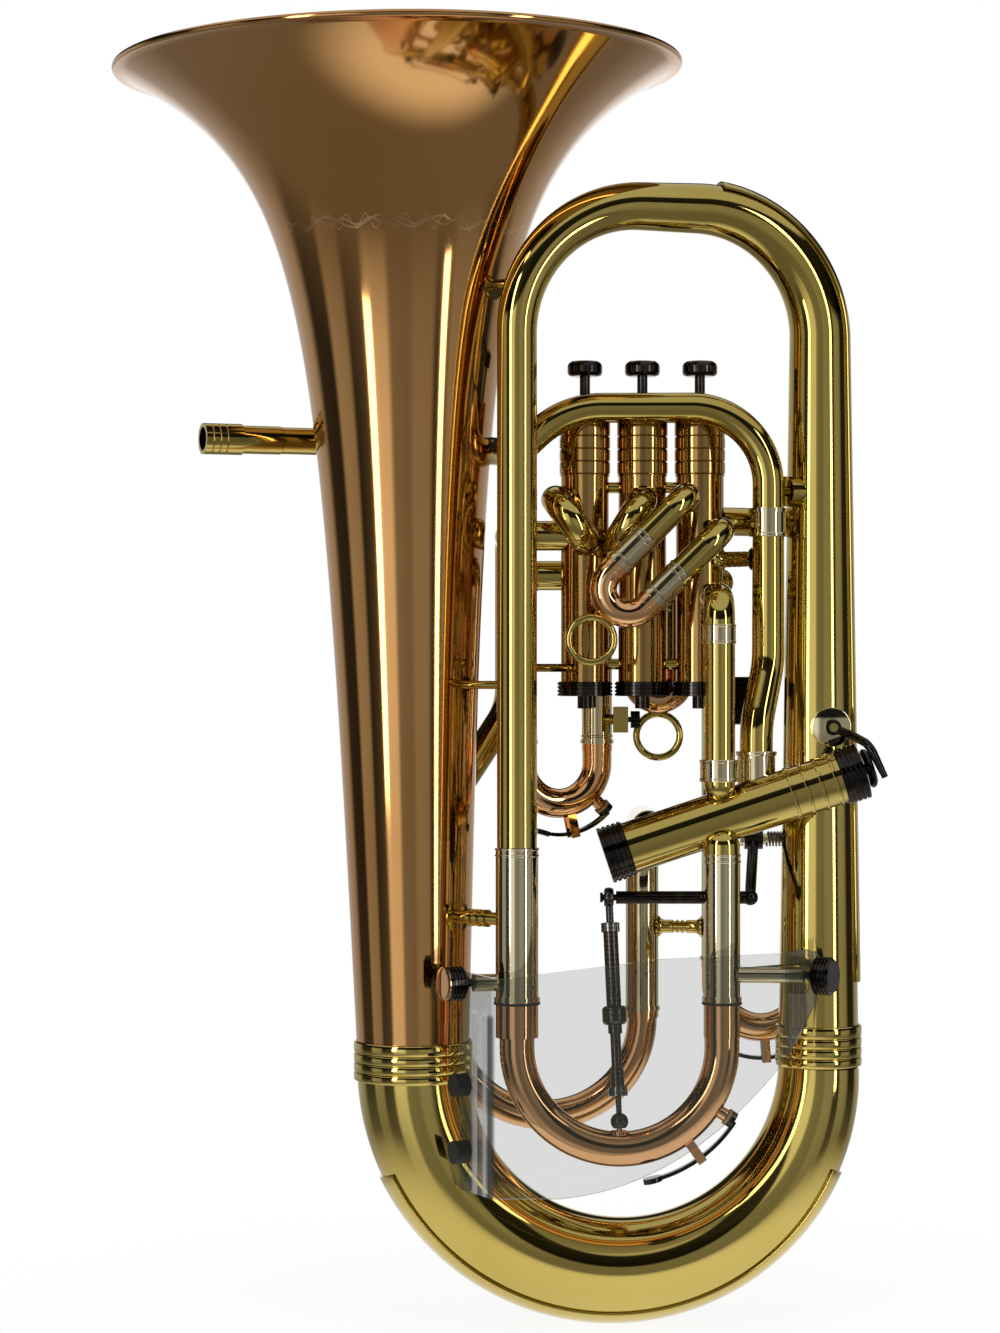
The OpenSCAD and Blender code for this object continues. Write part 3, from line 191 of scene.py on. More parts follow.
def makeBrass(finish, engraved=False):
    material, tree, place = newMaterial(finish["name"] + ("Engraved" if engraved else ""))
    patch = addNode(tree, "ShaderNodeTexNoise", {"Vector": place, "Scale": 1000 / tintPatch, "Detail": 2.0})
    tint = addNode(tree, "ShaderNodeValToRGB", {"Fac": patch})
    setRamp(tint, [(0.3, linear(finish["deep"])), (0.7, linear(finish["light"]))])
    haze = addNode(tree, "ShaderNodeTexNoise", {"Vector": place, "Scale": 1000 / hazeGrain, "Detail": 3.0})
    rough = addNode(tree, "ShaderNodeMapRange", {"Value": haze, "To Min": finish["rough"] * hazeLow,
        "To Max": finish["rough"] * hazeHigh})
    bump = addNode(tree, "ShaderNodeBump", {"Height": patch, "Strength": 0.01, "Distance": 0.002})
    shader = addNode(tree, "ShaderNodeBsdfPrincipled", {"Base Color": tint, "Metallic": 1.0,
        "Roughness": rough, "Normal": bump, "Coat Weight": 0.35, "Coat Roughness": 0.04})
    if engraved:
        cut = engravedScroll(tree, place)
        colour = addNode(tree, "ShaderNodeMix", {"Factor": cut, 6: tint, 7: linear(scroll["cut"])},
            data_type="RGBA")
        dull = addNode(tree, "ShaderNodeMath", {0: cut, 1: scroll["cutRough"], 2: rough},
            operation="MULTIPLY_ADD")
        tree.links.new(colour.outputs[2], shader.inputs["Base Color"])
        tree.links.new(dull.outputs["Value"], shader.inputs["Roughness"])
    addNode(tree, "ShaderNodeOutputMaterial", {"Surface": shader})
    return material


finishes = {slot: makeBrass(finish) for slot, finish in brassFinishes.items()}
bellBrass = makeBrass(brassFinishes["gold_brass"], engraved=True)

# Black nickel plate: dark mirror, a little brown, with small rubbed spots
plating = {"dark": "#34312F", "worn": "#4A4540", "grain": 6}
material, tree, place = newMaterial("BlackNickelPlate")
wear = addNode(tree, "ShaderNodeTexNoise", {"Vector": place, "Scale": 1000 / plating["grain"], "Detail": 4.0})
tint = addNode(tree, "ShaderNodeValToRGB", {"Fac": wear})
setRamp(tint, [(0.45, linear(plating["dark"])), (0.75, linear(plating["worn"]))])
rough = addNode(tree, "ShaderNodeMapRange", {"Value": wear, "To Min": 0.07, "To Max": 0.18})
shader = addNode(tree, "ShaderNodeBsdfPrincipled", {"Base Color": tint, "Metallic": 1.0,
    "Roughness": rough})
addNode(tree, "ShaderNodeOutputMaterial", {"Surface": shader})
finishes["black_nickel"] = material

# Turned steel: bright on nuts and springs, blackened on the push rod, with fine lathe lines
steelFinishes = {"steel": {"name": "TurnedSteel", "light": "#8E8A87", "deep": "#74706D"},
                 "dark_steel": {"name": "BlackenedSteel", "light": "#5E5856", "deep": "#4A4543"}}
latheLine = 1.2  # mm from one lathe line to the next, coarser than the real ones so that they show
for slot, finish in steelFinishes.items():
    material, tree, place = newMaterial(finish["name"])
    lines = addNode(tree, "ShaderNodeTexWave", {"Vector": place, "Scale": 1000 / latheLine / 6.28,
        "Distortion": 1.5}, bands_direction="Z")
    tint = addNode(tree, "ShaderNodeValToRGB", {"Fac": lines.outputs["Fac"]})
    setRamp(tint, [(0.0, linear(finish["deep"])), (1.0, linear(finish["light"]))])
    shader = addNode(tree, "ShaderNodeBsdfPrincipled", {"Base Color": tint, "Metallic": 1.0,
        "Roughness": 0.24})
    addNode(tree, "ShaderNodeOutputMaterial", {"Surface": shader})
    finishes[slot] = material

# Clear acrylic sheet: a grey cast that thickens edge on, faint smears, and painted light and dark reflection
# bands in the slanted left wing
acrylic = {"cast": "#4A5446", "cover": 0.17, "edgeCover": 0.6, "smear": 30, "wingEnd": -81.0,
    "wingBend": -64.8, "paintedReflectionTop": 174.0, "paintedReflectionFade": 5.0}
# Painted reflection: light and dark bands that the polished left wing shows when seen edge on, painted into
# the sheet's colour and cover
wingPaintedReflections = ((0.0, 0.02, 0.0), (0.2, 0.03, 0.2), (0.28, 0.75, 0.6), (0.4, 0.85, 0.65), (0.46, 0.25, 0.4),
               (0.56, 0.5, 0.4), (0.66, 0.9, 0.7), (0.73, 0.5, 0.5), (0.77, 0.02, 0.8), (0.93, 0.02, 0.8),
               (1.0, 0.02, 0.0))  # place across the wing, tone and strength of the painted reflection
material, tree, place = newMaterial("ClearAcrylicSheet")
smear = addNode(tree, "ShaderNodeTexNoise", {"Vector": place, "Scale": 1000 / acrylic["smear"],
    "Detail": 5.0})
rough = addNode(tree, "ShaderNodeMapRange", {"Value": smear, "To Min": 0.02, "To Max": 0.08})
slant = addNode(tree, "ShaderNodeLayerWeight", {"Blend": 0.5})
cover = addNode(tree, "ShaderNodeMapRange", {"Value": slant.outputs["Facing"], "From Min": 0.15,
    "From Max": 0.8, "To Min": acrylic["cover"], "To Max": acrylic["edgeCover"]})
axes = addNode(tree, "ShaderNodeSeparateXYZ", {"Vector": place})
across = addNode(tree, "ShaderNodeMapRange", {"Value": axes.outputs["X"],
    "From Min": acrylic["wingEnd"] * mm, "From Max": acrylic["wingBend"] * mm})
paintedReflectionBands = addNode(tree, "ShaderNodeValToRGB", {"Fac": across})
setRamp(paintedReflectionBands, [(spot, (tone, tone, tone, paintedReflectionStrength)) for spot, tone, paintedReflectionStrength in wingPaintedReflections])
atSlant = addNode(tree, "ShaderNodeMapRange", {"Value": slant.outputs["Facing"], "From Min": 0.25,
    "From Max": 0.45})
below = addNode(tree, "ShaderNodeMapRange", {"Value": axes.outputs["Z"],
    "From Min": acrylic["paintedReflectionTop"] * mm, "From Max": (acrylic["paintedReflectionTop"] - acrylic["paintedReflectionFade"]) * mm})
# The painted reflection shows only where the wing is seen slanted, and below its top
paintedReflectionMask = addNode(tree, "ShaderNodeMath", {0: atSlant, 1: below}, operation="MULTIPLY")
paintedReflectionStrength = addNode(tree, "ShaderNodeMath", {0: paintedReflectionBands.outputs["Alpha"], 1: paintedReflectionMask}, operation="MULTIPLY")
# Mixes the painted reflection bands into the grey cast, and into the cover below
cast = addNode(tree, "ShaderNodeMix", {"Factor": paintedReflectionStrength, 6: linear(acrylic["cast"]), 7: paintedReflectionBands},
    data_type="RGBA")
solid = addNode(tree, "ShaderNodeMath", {0: cover, 1: paintedReflectionStrength}, operation="MAXIMUM")
shader = addNode(tree, "ShaderNodeBsdfPrincipled", {"Base Color": cast.outputs[2], "Roughness": rough,
    "IOR": 1.49, "Alpha": solid})
addNode(tree, "ShaderNodeOutputMaterial", {"Surface": shader})
finishes["clear_acrylic"] = material

# Moulded rubber: matt black with a fine grain
rubber = {"dark": "#141414", "grey": "#242424", "grain": 1.5}
material, tree, place = newMaterial("MouldedRubber")
grain = addNode(tree, "ShaderNodeTexNoise", {"Vector": place, "Scale": 1000 / rubber["grain"], "Detail": 3.0})
tint = addNode(tree, "ShaderNodeValToRGB", {"Fac": grain})
setRamp(tint, [(0.3, linear(rubber["dark"])), (0.7, linear(rubber["grey"]))])
bump = addNode(tree, "ShaderNodeBump", {"Height": grain, "Strength": 0.2, "Distance": 0.0003})
shader = addNode(tree, "ShaderNodeBsdfPrincipled", {"Base Color": tint, "Roughness": 0.55, "Normal": bump})
addNode(tree, "ShaderNodeOutputMaterial", {"Surface": shader})
finishes["black_rubber"] = material

# Pressed cork: tan crumbs with dark grains
cork = {"light": "#C09A68", "dark": "#8A6540", "crumb": 0.7}
corkSheet, tree, place = newMaterial("PressedCork")
crumb = addNode(tree, "ShaderNodeTexVoronoi", {"Vector": place, "Scale": 1000 / cork["crumb"]})
tint = addNode(tree, "ShaderNodeValToRGB", {"Fac": crumb})
setRamp(tint, [(0.1, linear(cork["dark"])), (0.6, linear(cork["light"]))])
shader = addNode(tree, "ShaderNodeBsdfPrincipled", {"Base Color": tint, "Roughness": 0.8})
addNode(tree, "ShaderNodeOutputMaterial", {"Surface": shader})

warmNodes = ("casing_1", "casing_2", "casing_3", "top_caps")  # warmer and darker brass on the casings and their caps
for part in frame["record"]["subparts"]:
    finishName = "casing_brass" if part["node"] in warmNodes else part["material_slot"]
    for materialSlot in frame["nodes"][part["node"]].material_slots:
        materialSlot.material = finishes[finishName]
print("finishes:", ", ".join(sorted(finishes)))


# Routes of bent tubes: corners joined by arcs, in mm, with the same bends as the solid tubes
def bentRoute(corners, bends, step=2.5):  # step is the turn in degrees from one point of an arc to the next
    points = [Vector(corners[0])]
    for before, corner, after, bend in zip(corners, corners[1:], corners[2:], bends):
        before, corner, after = Vector(before), Vector(corner), Vector(after)
        inward, outward = (corner - before).normalized(), (after - corner).normalized()
        turn = inward.angle(outward)
        side = (outward - inward * inward.dot(outward)).normalized()
        start = corner - inward * bend * math.tan(turn / 2)
        count = max(6, math.ceil(math.degrees(turn) / step))
        middle = start + side * bend
        for i in range(count + 1):
            a = turn * i / count
            points.append(middle - side * bend * math.cos(a) + inward * bend * math.sin(a))
    points.append(Vector(corners[-1]))
    return points


def coilRoute(start, axis, across, r, wire, tall, turns, steps):  # the middle of a coil's wire
    aside = axis.cross(across)
    count = turns * steps
    points = []
    for i in range(count + 1):
        a = 2 * math.pi * i / steps
        along = wire + (tall - 2 * wire) * i / count
        points.append(start + axis * along + (across * math.cos(a) + aside * math.sin(a)) * r)
    return points


def runLengths(points):
    total, runs = 0.0, [0.0]
    for a, b in zip(points, points[1:]):
        total += (b - a).length
        runs.append(total)
    return runs


def sweepTube(name, points, radii, wall=0.0, around=12, capped=False):  # a round tube along a route
    curve = bpy.data.curves.new(name, "CURVE")
    curve.dimensions = "3D"
    curve.bevel_depth = mm
    curve.bevel_resolution = around
    curve.twist_mode = "MINIMUM"
    curve.use_fill_caps = capped
    line = curve.splines.new("POLY")
    line.points.add(len(points) - 1)
    for knot, point, radius in zip(line.points, points, radii):
        knot.co = (*(point * mm), 1.0)
        knot.radius = radius
    obj = bpy.data.objects.new(name, curve)
    scene.collection.objects.link(obj)
    choose(obj)
    bpy.ops.object.convert(target="MESH")
    obj = bpy.context.object
    if wall > 0:
        useModifier(obj, "SOLIDIFY", thickness=wall * mm, offset=-1)
    return obj


def turnProfile(name, outline, around=48, closed=True):  # spins an outline of (radius, height) in mm about Z
    bpy.ops.mesh.primitive_plane_add(size=1)
    obj = bpy.context.object
    obj.name = obj.data.name = name
    obj.data.clear_geometry()
    count = len(outline)
    edges = [(i, (i + 1) % count) for i in range(count if closed else count - 1)]
    obj.data.from_pydata([(r * mm, 0, z * mm) for r, z in outline], edges, [])
    choose(obj)
    bpy.ops.object.mode_set(mode="EDIT")
    bpy.ops.mesh.select_all(action="SELECT")
    bpy.ops.mesh.spin(steps=around, angle=2 * math.pi, center=(0, 0, 0), axis=(0, 0, 1))
    bpy.ops.mesh.select_all(action="SELECT")
    bpy.ops.mesh.remove_doubles(threshold=0.00001)
    bpy.ops.mesh.normals_make_consistent(inside=False)
    bpy.ops.object.mode_set(mode="OBJECT")
    return obj


def arcPoints(r, degrees, x=0.0, z=0.0, rise=1.0):  # an arc, flat where rise is small
    return [(x + r * math.cos(math.radians(a)), z + rise * r * math.sin(math.radians(a))) for a in degrees]


def bandOutline(inner, edge, outer, low, high, soft):  # a band with softened outer corners
    return [(inner, low), (edge, low), (outer, low + soft), (outer, high - soft), (edge, high), (inner, high)]


def setPlace(obj, spot, axis=(0, 0, 1)):  # moves a turned mesh to a spot in mm and turns its axis
    turn = Vector((0, 0, 1)).rotation_difference(Vector(axis).normalized()).to_matrix().to_4x4()
    obj.data.transform(Matrix.Translation(Vector(spot) * mm) @ turn)
    return obj


def placeCopies(obj, spots, axis):  # the piece at the first spot, a copy with its own mesh at each other
    pieces = [obj]
    for spot in spots[1:]:
        made = obj.copy()
        made.data = obj.data.copy()
        scene.collection.objects.link(made)
        pieces.append(made)
    return [setPlace(piece, spot, axis) for piece, spot in zip(pieces, spots)]


def joinPieces(name, pieces):
    deselectAll()
    for piece in pieces:
        piece.select_set(True)
    bpy.context.view_layer.objects.active = pieces[0]
    bpy.ops.object.join()
    pieces[0].name = pieces[0].data.name = name
    return pieces[0]


# Bell: a turned profile with a rolled rim, leaning a little outwards
bellForm = {"lowZ": 137.15, "length": 535.0, "lean": 0.9, "wall": 1.0, "rings": 110, "around": 144,
    "neck": 47.44, "taper": 17.71, "throat": 48.62, "throatFall": 5.35, "flare": 56.72, "flareFall": 14.861,
    "bead": 1.9, "beadDrop": 0.6, "outerStop": 2.4, "innerStop": 1.8}


def bellRadius(down):  # down is the distance from the rim, mm
    share = down / bellForm["length"]
    throat = bellForm["throat"] * math.exp(-bellForm["throatFall"] * share)
    flare = bellForm["flare"] * math.exp(-bellForm["flareFall"] * share)
    return bellForm["neck"] - bellForm["taper"] * share + throat + flare


def turnBell():
    rings, length, bead = bellForm["rings"], bellForm["length"], bellForm["bead"]
    downs = [length * (1 - i / rings) ** 2 for i in range(rings + 1)]
    outer = [(bellRadius(down), length - down) for down in downs]
    inner = [(bellRadius(down) - bellForm["wall"], length - down) for down in reversed(downs)]
    roll = arcPoints(bead, range(-60, 211, 18), bellRadius(0) - bead, length - bellForm["beadDrop"])
    outline = [point for point in outer if point[1] < length - bellForm["outerStop"]] + roll
    outline += [point for point in inner if point[1] < length - bellForm["innerStop"]]
    obj = turnProfile("bellTurned", outline, bellForm["around"])
    lean = math.radians(bellForm["lean"])
    setPlace(obj, (-horn["reach"], 0, bellForm["lowZ"]), (-math.sin(lean), 0, math.cos(lean)))
    finishPiece(obj, bellBrass)
    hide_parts("bell")
    return obj


bellPiece = turnBell()
print("bell:", len(bellPiece.data.polygons), "faces")

# Bottom bow and the guard strip along its outside
bowForm = {"centreZ": 136.35, "bellR": 30.3, "lowR": 27.6, "branchR": 21.7, "wall": 0.8, "steps": 72,
    "around": 22, "stripFrom": 205, "stripTo": 335, "stripHalf": 40, "stripT": 1.5}
stripForm = {"around": 34, "soft": 0.35, "corner": 50}  # both guard strips
lowShare = (bowForm["bellR"] - bowForm["lowR"]) / (bowForm["bellR"] - bowForm["branchR"])
bowPower = math.log(lowShare) / math.log(0.5)


def bowRadius(a):
    share = max(0.0, (a - 180) / 180)
    return bowForm["bellR"] - (bowForm["bellR"] - bowForm["branchR"]) * share ** bowPower


def bowPoint(a):
    t = math.radians(a)
    return Vector((horn["reach"] * math.cos(t), 0, bowForm["centreZ"] + horn["reach"] * math.sin(t)))


def keepFaces(obj, keep):  # deletes every face whose middle isn't kept
    choose(obj)
    for face in obj.data.polygons:
        face.select = not keep(face.center / mm)
    bpy.ops.object.mode_set(mode="EDIT")
    bpy.ops.mesh.select_mode(type="FACE")
    bpy.ops.mesh.delete(type="FACE")
    bpy.ops.object.mode_set(mode="OBJECT")


def edgeStrip(obj, thickness):  # gives a cut strip its thickness and a soft edge
    useModifier(obj, "SOLIDIFY", thickness=thickness * mm, offset=1)
    useModifier(obj, "BEVEL", width=stripForm["soft"] * mm, segments=2, limit_method="ANGLE",
        angle_limit=math.radians(stripForm["corner"]))


bowAngles = [180 + 180 * i / bowForm["steps"] for i in range(bowForm["steps"] + 1)]
bowRoute = [bowPoint(a) for a in bowAngles]
bowRadii = [bowRadius(a) for a in bowAngles]
bowPiece = sweepTube("bottomBowTube", bowRoute, bowRadii, bowForm["wall"], bowForm["around"])
finishPiece(bowPiece, finishes["yellow_brass"])
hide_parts("bottom_bow")


def onBowStrip(p):
    a = math.degrees(math.atan2(p.z - bowForm["centreZ"], p.x)) % 360
    if not bowForm["stripFrom"] <= a <= bowForm["stripTo"]:
        return False
    out = (bowPoint(a) - Vector((0, 0, bowForm["centreZ"]))).normalized()
    return (p - bowPoint(a)).normalized().dot(out) >= math.cos(math.radians(bowForm["stripHalf"]))


bowStrip = sweepTube("bowGuardStrip", bowRoute, bowRadii, 0.0, stripForm["around"])
keepFaces(bowStrip, onBowStrip)
edgeStrip(bowStrip, bowForm["stripT"])
finishPiece(bowStrip, finishes["yellow_brass"])
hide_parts("bow_guard")
print("bow and strip made")

# Ferrules at both ends of the bow: rounded bands with narrow grooves between them
ferruleForm = {"grooves": (0.23, 0.47, 0.71), "deep": 0.7, "edge": 0.28, "round": 0.4, "shoulder": 0.3,
    "around": 96}
ferruleEnds = ({"x": -horn["reach"], "low": 129.35, "inner": 30.92, "outer": 32.1, "tall": 21.0},
               {"x": horn["reach"], "low": 136.95, "inner": 21.8, "outer": 23.1, "tall": 22.0})
ferrules = []
for end in ferruleEnds:
    inner, outer, tall = end["inner"], end["outer"], end["tall"]
    groove, shoulder = outer - ferruleForm["deep"], outer - ferruleForm["shoulder"]
    edge = ferruleForm["edge"]
    soft = edge + ferruleForm["round"]
    cuts = [0.0] + [share * tall for share in ferruleForm["grooves"]] + [tall]
    outline = [(inner, 0.0)]
    for start, stop in zip(cuts, cuts[1:]):
        outline += [(groove, start), (shoulder, start + edge), (outer, start + soft), (outer, stop - soft),
            (shoulder, stop - edge)]
    outline += [(groove, tall), (inner, tall)]
    ferrules.append(setPlace(turnProfile("ferrule", outline, ferruleForm["around"]),
        (end["x"], 0, end["low"])))
ferrulePiece = finishPiece(joinPieces("bowFerruleBands", ferrules), finishes["yellow_brass"], smooth=40)
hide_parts("bow_ferrules")

# Top bow with the front leg, and the guard strip down the outer branch
topForm = {"springZ": 526, "bend": 68, "branchR": 15.6, "legR": 10.5, "legLow": 256.2, "branchLow": 136.75,
    "wall": 0.8, "around": 18, "stripLow": 182, "stripHalf": 40, "stripT": 1.65, "stripStart": 82,
    "stripThin": 1.5, "arcSteps": 33, "legSteps": 40}
branch = (horn["reach"], 0)
leg = (sleeves["mainLeft"]["x"], sleeves["mainLeft"]["y"])
springZ = topForm["springZ"]
topZ = springZ + topForm["bend"]
topRoute = bentRoute([(*branch, springZ), (*branch, topZ), (*leg, topZ), (*leg, topForm["legLow"])],
    [topForm["bend"]] * 2)
topRuns = runLengths(topRoute)
archEnd = topRuns[-2]
narrowing = topForm["legR"] - topForm["branchR"]
topRadii = [topForm["branchR"] + narrowing * min(1, run / archEnd) for run in topRuns]
topPiece = sweepTube("topBowTube", topRoute, topRadii, topForm["wall"], topForm["around"])
finishPiece(topPiece, finishes["yellow_brass"])
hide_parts("top_bow")

archDir = Vector((branch[0] - leg[0], branch[1] - leg[1], 0)).normalized()
bendMiddle = Vector((*branch, springZ)) - archDir * topForm["bend"]


def branchRadius(z):
    share = (z - topForm["branchLow"]) / (springZ - topForm["branchLow"])
    return bowForm["branchR"] + (topForm["branchR"] - bowForm["branchR"]) * share


def onBranchStrip(p):
    if p.z <= springZ:
        out, middle = archDir, Vector((*branch, p.z))
    else:
        reach = p - bendMiddle
        out = (archDir * reach.dot(archDir) + Vector((0, 0, reach.z))).normalized()
        middle = bendMiddle + out * topForm["bend"]
    return (p - middle).normalized().dot(out) >= math.cos(math.radians(topForm["stripHalf"]))


stripPath, stripRadii = [], []
for i in range(topForm["arcSteps"] + 1):
    left = 1 - i / topForm["arcSteps"]
    a = math.radians(topForm["stripStart"] * left)
    stripPath.append(bendMiddle + (archDir * math.cos(a) + Vector((0, 0, math.sin(a)))) * topForm["bend"])
    stripRadii.append(topForm["branchR"] - topForm["stripThin"] * left)
for i in range(1, topForm["legSteps"] + 1):
    z = springZ + (topForm["stripLow"] - springZ) * i / topForm["legSteps"]
    stripPath.append(Vector((*branch, z)))
    stripRadii.append(branchRadius(z))
branchStrip = sweepTube("branchGuardStrip", stripPath, stripRadii, 0.0, stripForm["around"])
keepFaces(branchStrip, onBranchStrip)
edgeStrip(branchStrip, topForm["stripT"])
finishPiece(branchStrip, finishes["yellow_brass"])
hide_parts("branch_guard")
print("top bow and branch strip made")

# Leadpipe: around the bell, up over the valves and down to the side valve
leadForm = {"wrapR": 60, "wrapX": -114.06, "z": 474.5, "turn": 22, "mouth": 61.4, "archZ": 488,
    "backDrop": 18, "leftDrop": 25, "archX": -28, "downZ": 352, "foot": (73, -30), "footTop": 320,
    "footLow": 294.5, "bends": (57, 14, 50, 41, 40, 40), "step": 3, "startR": 7.4, "grow": 1.4,
    "wall": 0.8, "around": 14}
turn = math.radians(leadForm["turn"])
turnOut = Vector((-math.cos(turn), -math.sin(turn), 0))
wrapEnd = Vector((leadForm["wrapX"] - leadForm["wrapR"] * math.tan(turn / 2), leadForm["wrapR"],
    leadForm["z"]))
leftX = leadForm["wrapX"] + leadForm["wrapR"]
leadX, leadY, archZ = horn["leadX"], horn["leadY"], leadForm["archZ"]
leadRoute = bentRoute([wrapEnd + turnOut * leadForm["mouth"], wrapEnd,
    (leftX, leadForm["wrapR"], archZ - leadForm["backDrop"]), (leftX, leadY, archZ - leadForm["leftDrop"]),
    (leadForm["archX"], leadY, archZ), (leadX, leadY, archZ), (leadX, leadY, leadForm["downZ"]),
    (*leadForm["foot"], leadForm["footTop"]), (*leadForm["foot"], leadForm["footLow"])],
    (leadForm["wrapR"], *leadForm["bends"]), leadForm["step"])
leadRuns = runLengths(leadRoute)
leadRadii = [leadForm["startR"] + leadForm["grow"] * run / leadRuns[-1] for run in leadRuns]
leadPiece = sweepTube("leadpipeTube", leadRoute, leadRadii, leadForm["wall"], leadForm["around"])
finishPiece(leadPiece, finishes["yellow_brass"])
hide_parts("leadpipe")

# Tube from the fourth slide up to the first valve, whose end goes into the casing's side
fourthForm = {"low": 250.3, "lowBend": 276, "highBend": 328, "innerX": -57, "topZ": 421, "valveY": 3,
    "endX": -22, "bends": (36, 36, 14, 14), "step": 4, "r": 8.1, "wall": 0.7}
fourthX, fourthY = sleeves["fourthLeft"]["x"], sleeves["fourthLeft"]["y"]
innerX, valveY, fourthTop = fourthForm["innerX"], fourthForm["valveY"], fourthForm["topZ"]
fourthRoute = bentRoute([(fourthX, fourthY, fourthForm["low"]), (fourthX, fourthY, fourthForm["lowBend"]),
    (innerX, fourthY, fourthForm["highBend"]), (innerX, fourthY, fourthTop), (innerX, valveY, fourthTop),
    (fourthForm["endX"], valveY, fourthTop)], fourthForm["bends"], fourthForm["step"])
fourthPiece = sweepTube("fourthBranchTube", fourthRoute, [fourthForm["r"]] * len(fourthRoute),
    fourthForm["wall"])
finishPiece(fourthPiece, finishes["yellow_brass"])
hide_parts("fourth_branch")
print("leadpipe and fourth branch made")

# Hook of the side valve: a bent arm, thinner at its tip, on a pivot hub
hookForm = {"pivot": (113.4, -31.0, 318.6), "route": ((1.5, 0, -1), (9.2, -5.4, -4), (16.6, -21.5, -8.6),
    (25, -21.5, -25.6)), "bends": (8, 8), "step": 6, "r": 2.3, "tipShare": 0.72, "tipLong": 3, "bore": 1.66,
    "hubR": 4.2, "hubEdge": 3.7, "hubSoft": 0.5, "hubFrom": -33.9, "hubTo": -28.4}
pivot = Vector(hookForm["pivot"])
hookRoute = bentRoute([pivot + Vector(off) for off in hookForm["route"]], hookForm["bends"], hookForm["step"])
hookRuns = runLengths(hookRoute)
armRadii = []
for run in hookRuns:
    fullness = min(1.0, (hookRuns[-1] - run) / hookForm["tipLong"])
    armRadii.append(hookForm["r"] * (hookForm["tipShare"] + (1 - hookForm["tipShare"]) * fullness))
hookArm = sweepTube("hookArm", hookRoute, armRadii, 0.0, 8, capped=True)
hubLong = hookForm["hubTo"] - hookForm["hubFrom"]
hookHub = turnProfile("hookHub", bandOutline(hookForm["bore"], hookForm["hubEdge"], hookForm["hubR"], 0,
    hubLong, hookForm["hubSoft"]), 40)
setPlace(hookHub, (pivot.x, hookForm["hubFrom"], pivot.z), (0, 1, 0))
hookPiece = finishPiece(joinPieces("valveHookArm", [hookArm, hookHub]), finishes["black_nickel"], "hook")
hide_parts("valve_hook")

# Return spring of the trigger, wound around its shaft
coilForm = {"start": (81.6, 15, 257.4), "r": 3.6, "wire": 0.6, "length": 9.8, "turns": 5, "steps": 32}
coilPath = coilRoute(Vector(coilForm["start"]), Vector((1, 0, 0)), Vector((0, 0, -1)), coilForm["r"],
    coilForm["wire"], coilForm["length"], coilForm["turns"], coilForm["steps"])
coilPiece = sweepTube("triggerCoil", coilPath, [coilForm["wire"]] * len(coilPath), 0.0, 4, capped=True)
finishPiece(coilPiece, finishes["steel"])
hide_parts("trigger_spring")

# Valve springs: coils inside the casings, which the pistons press together
springForm = {"wire": 0.7, "turns": 7, "steps": 24, "travel": 16.0, "play": 0.3}
for valve in (1, 2, 3):
    low, high = boxOf("spring_%d" % valve)
    wire, tall = springForm["wire"], high.z - low.z
    foot = Vector(((low.x + high.x) / 2, (low.y + high.y) / 2, low.z))
    coilPath = coilRoute(foot, Vector((0, 0, 1)), Vector((1, 0, 0)), (high.x - low.x) / 2 - wire, wire,
        tall, springForm["turns"], springForm["steps"])
    springPiece = sweepTube("valveCoil_%d" % valve, coilPath, [wire] * len(coilPath), 0.0, 3, capped=True)
    finishPiece(springPiece, finishes["steel"])
    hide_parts("spring_%d" % valve)
    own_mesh(springPiece)

# Push rod of the trigger: a ball socket, a blackened rod with barrels and a collar, and an eye
rodForm = {"foot": (*between("mainLeft", "mainRight"), 112.6), "eye": (-4.7, -27, 228.6),
    "ballR": 4.7, "socketR": 3.0, "stemR": 1.6, "nutR": 4.95, "nutTall": 4.8, "nuts": (15.6, 101.6),
    "teeth": 28, "toothGap": 0.16, "toothDeep": 0.3}
# Lower barrel, rod, collar, upper barrel and thread
rodSteps = [(rodForm["stemR"], 13.4), (3.6, 13.4), (3.6, 26.6), (3.2, 27.0), (2.75, 27.0), (2.75, 45.8),
    (3.3, 45.8), (3.7, 46.2), (3.7, 50.6), (5.2, 50.6), (6.45, 52.0), (6.45, 58.8), (5.2, 60.2),
    (3.9, 60.2), (3.9, 103.6), (2.0, 103.6), (2.0, 112.8), (0.0, 112.8)]
eyeOutline = [(3.1, -2.5), (4.3, -2.5), (5.0, -1.7), (5.3, -0.6), (5.3, 0.6), (5.0, 1.7), (4.3, 2.5),
    (3.1, 2.5)]
foot, eye = Vector(rodForm["foot"]), Vector(rodForm["eye"])
rodAxis = (eye - foot).normalized()
outline = [(0.0, rodForm["socketR"])] + arcPoints(rodForm["socketR"], range(67, -26, -23))
outline += arcPoints(rodForm["ballR"], range(-48, 73, 12)) + rodSteps
rodShank = setPlace(turnProfile("rodShank", outline, closed=False), foot, rodAxis)
rodEye = setPlace(turnProfile("rodEye", eyeOutline), eye, (1, 0, 0))
rodPiece = finishPiece(joinPieces("pushRodShank", [rodShank, rodEye]), finishes["dark_steel"], "push_rod")
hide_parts("pushrod")
bpy.ops.mesh.primitive_cylinder_add(vertices=rodForm["teeth"], radius=rodForm["nutR"] * mm,
    depth=rodForm["nutTall"] * mm)
nut = bpy.context.object
bpy.ops.object.mode_set(mode="EDIT")
bpy.ops.mesh.select_all(action="DESELECT")
bpy.ops.mesh.select_face_by_sides(number=4)
bpy.ops.mesh.inset(thickness=rodForm["toothGap"] * mm, depth=-rodForm["toothDeep"] * mm, use_individual=True)
bpy.ops.object.mode_set(mode="OBJECT")
nuts = placeCopies(nut, [foot + rodAxis * along for along in rodForm["nuts"]], rodAxis)
nutPiece = finishPiece(joinPieces("pushRodNuts", nuts), finishes["steel"], "push_rod", smooth=20)
print("hook, springs and push rod made")

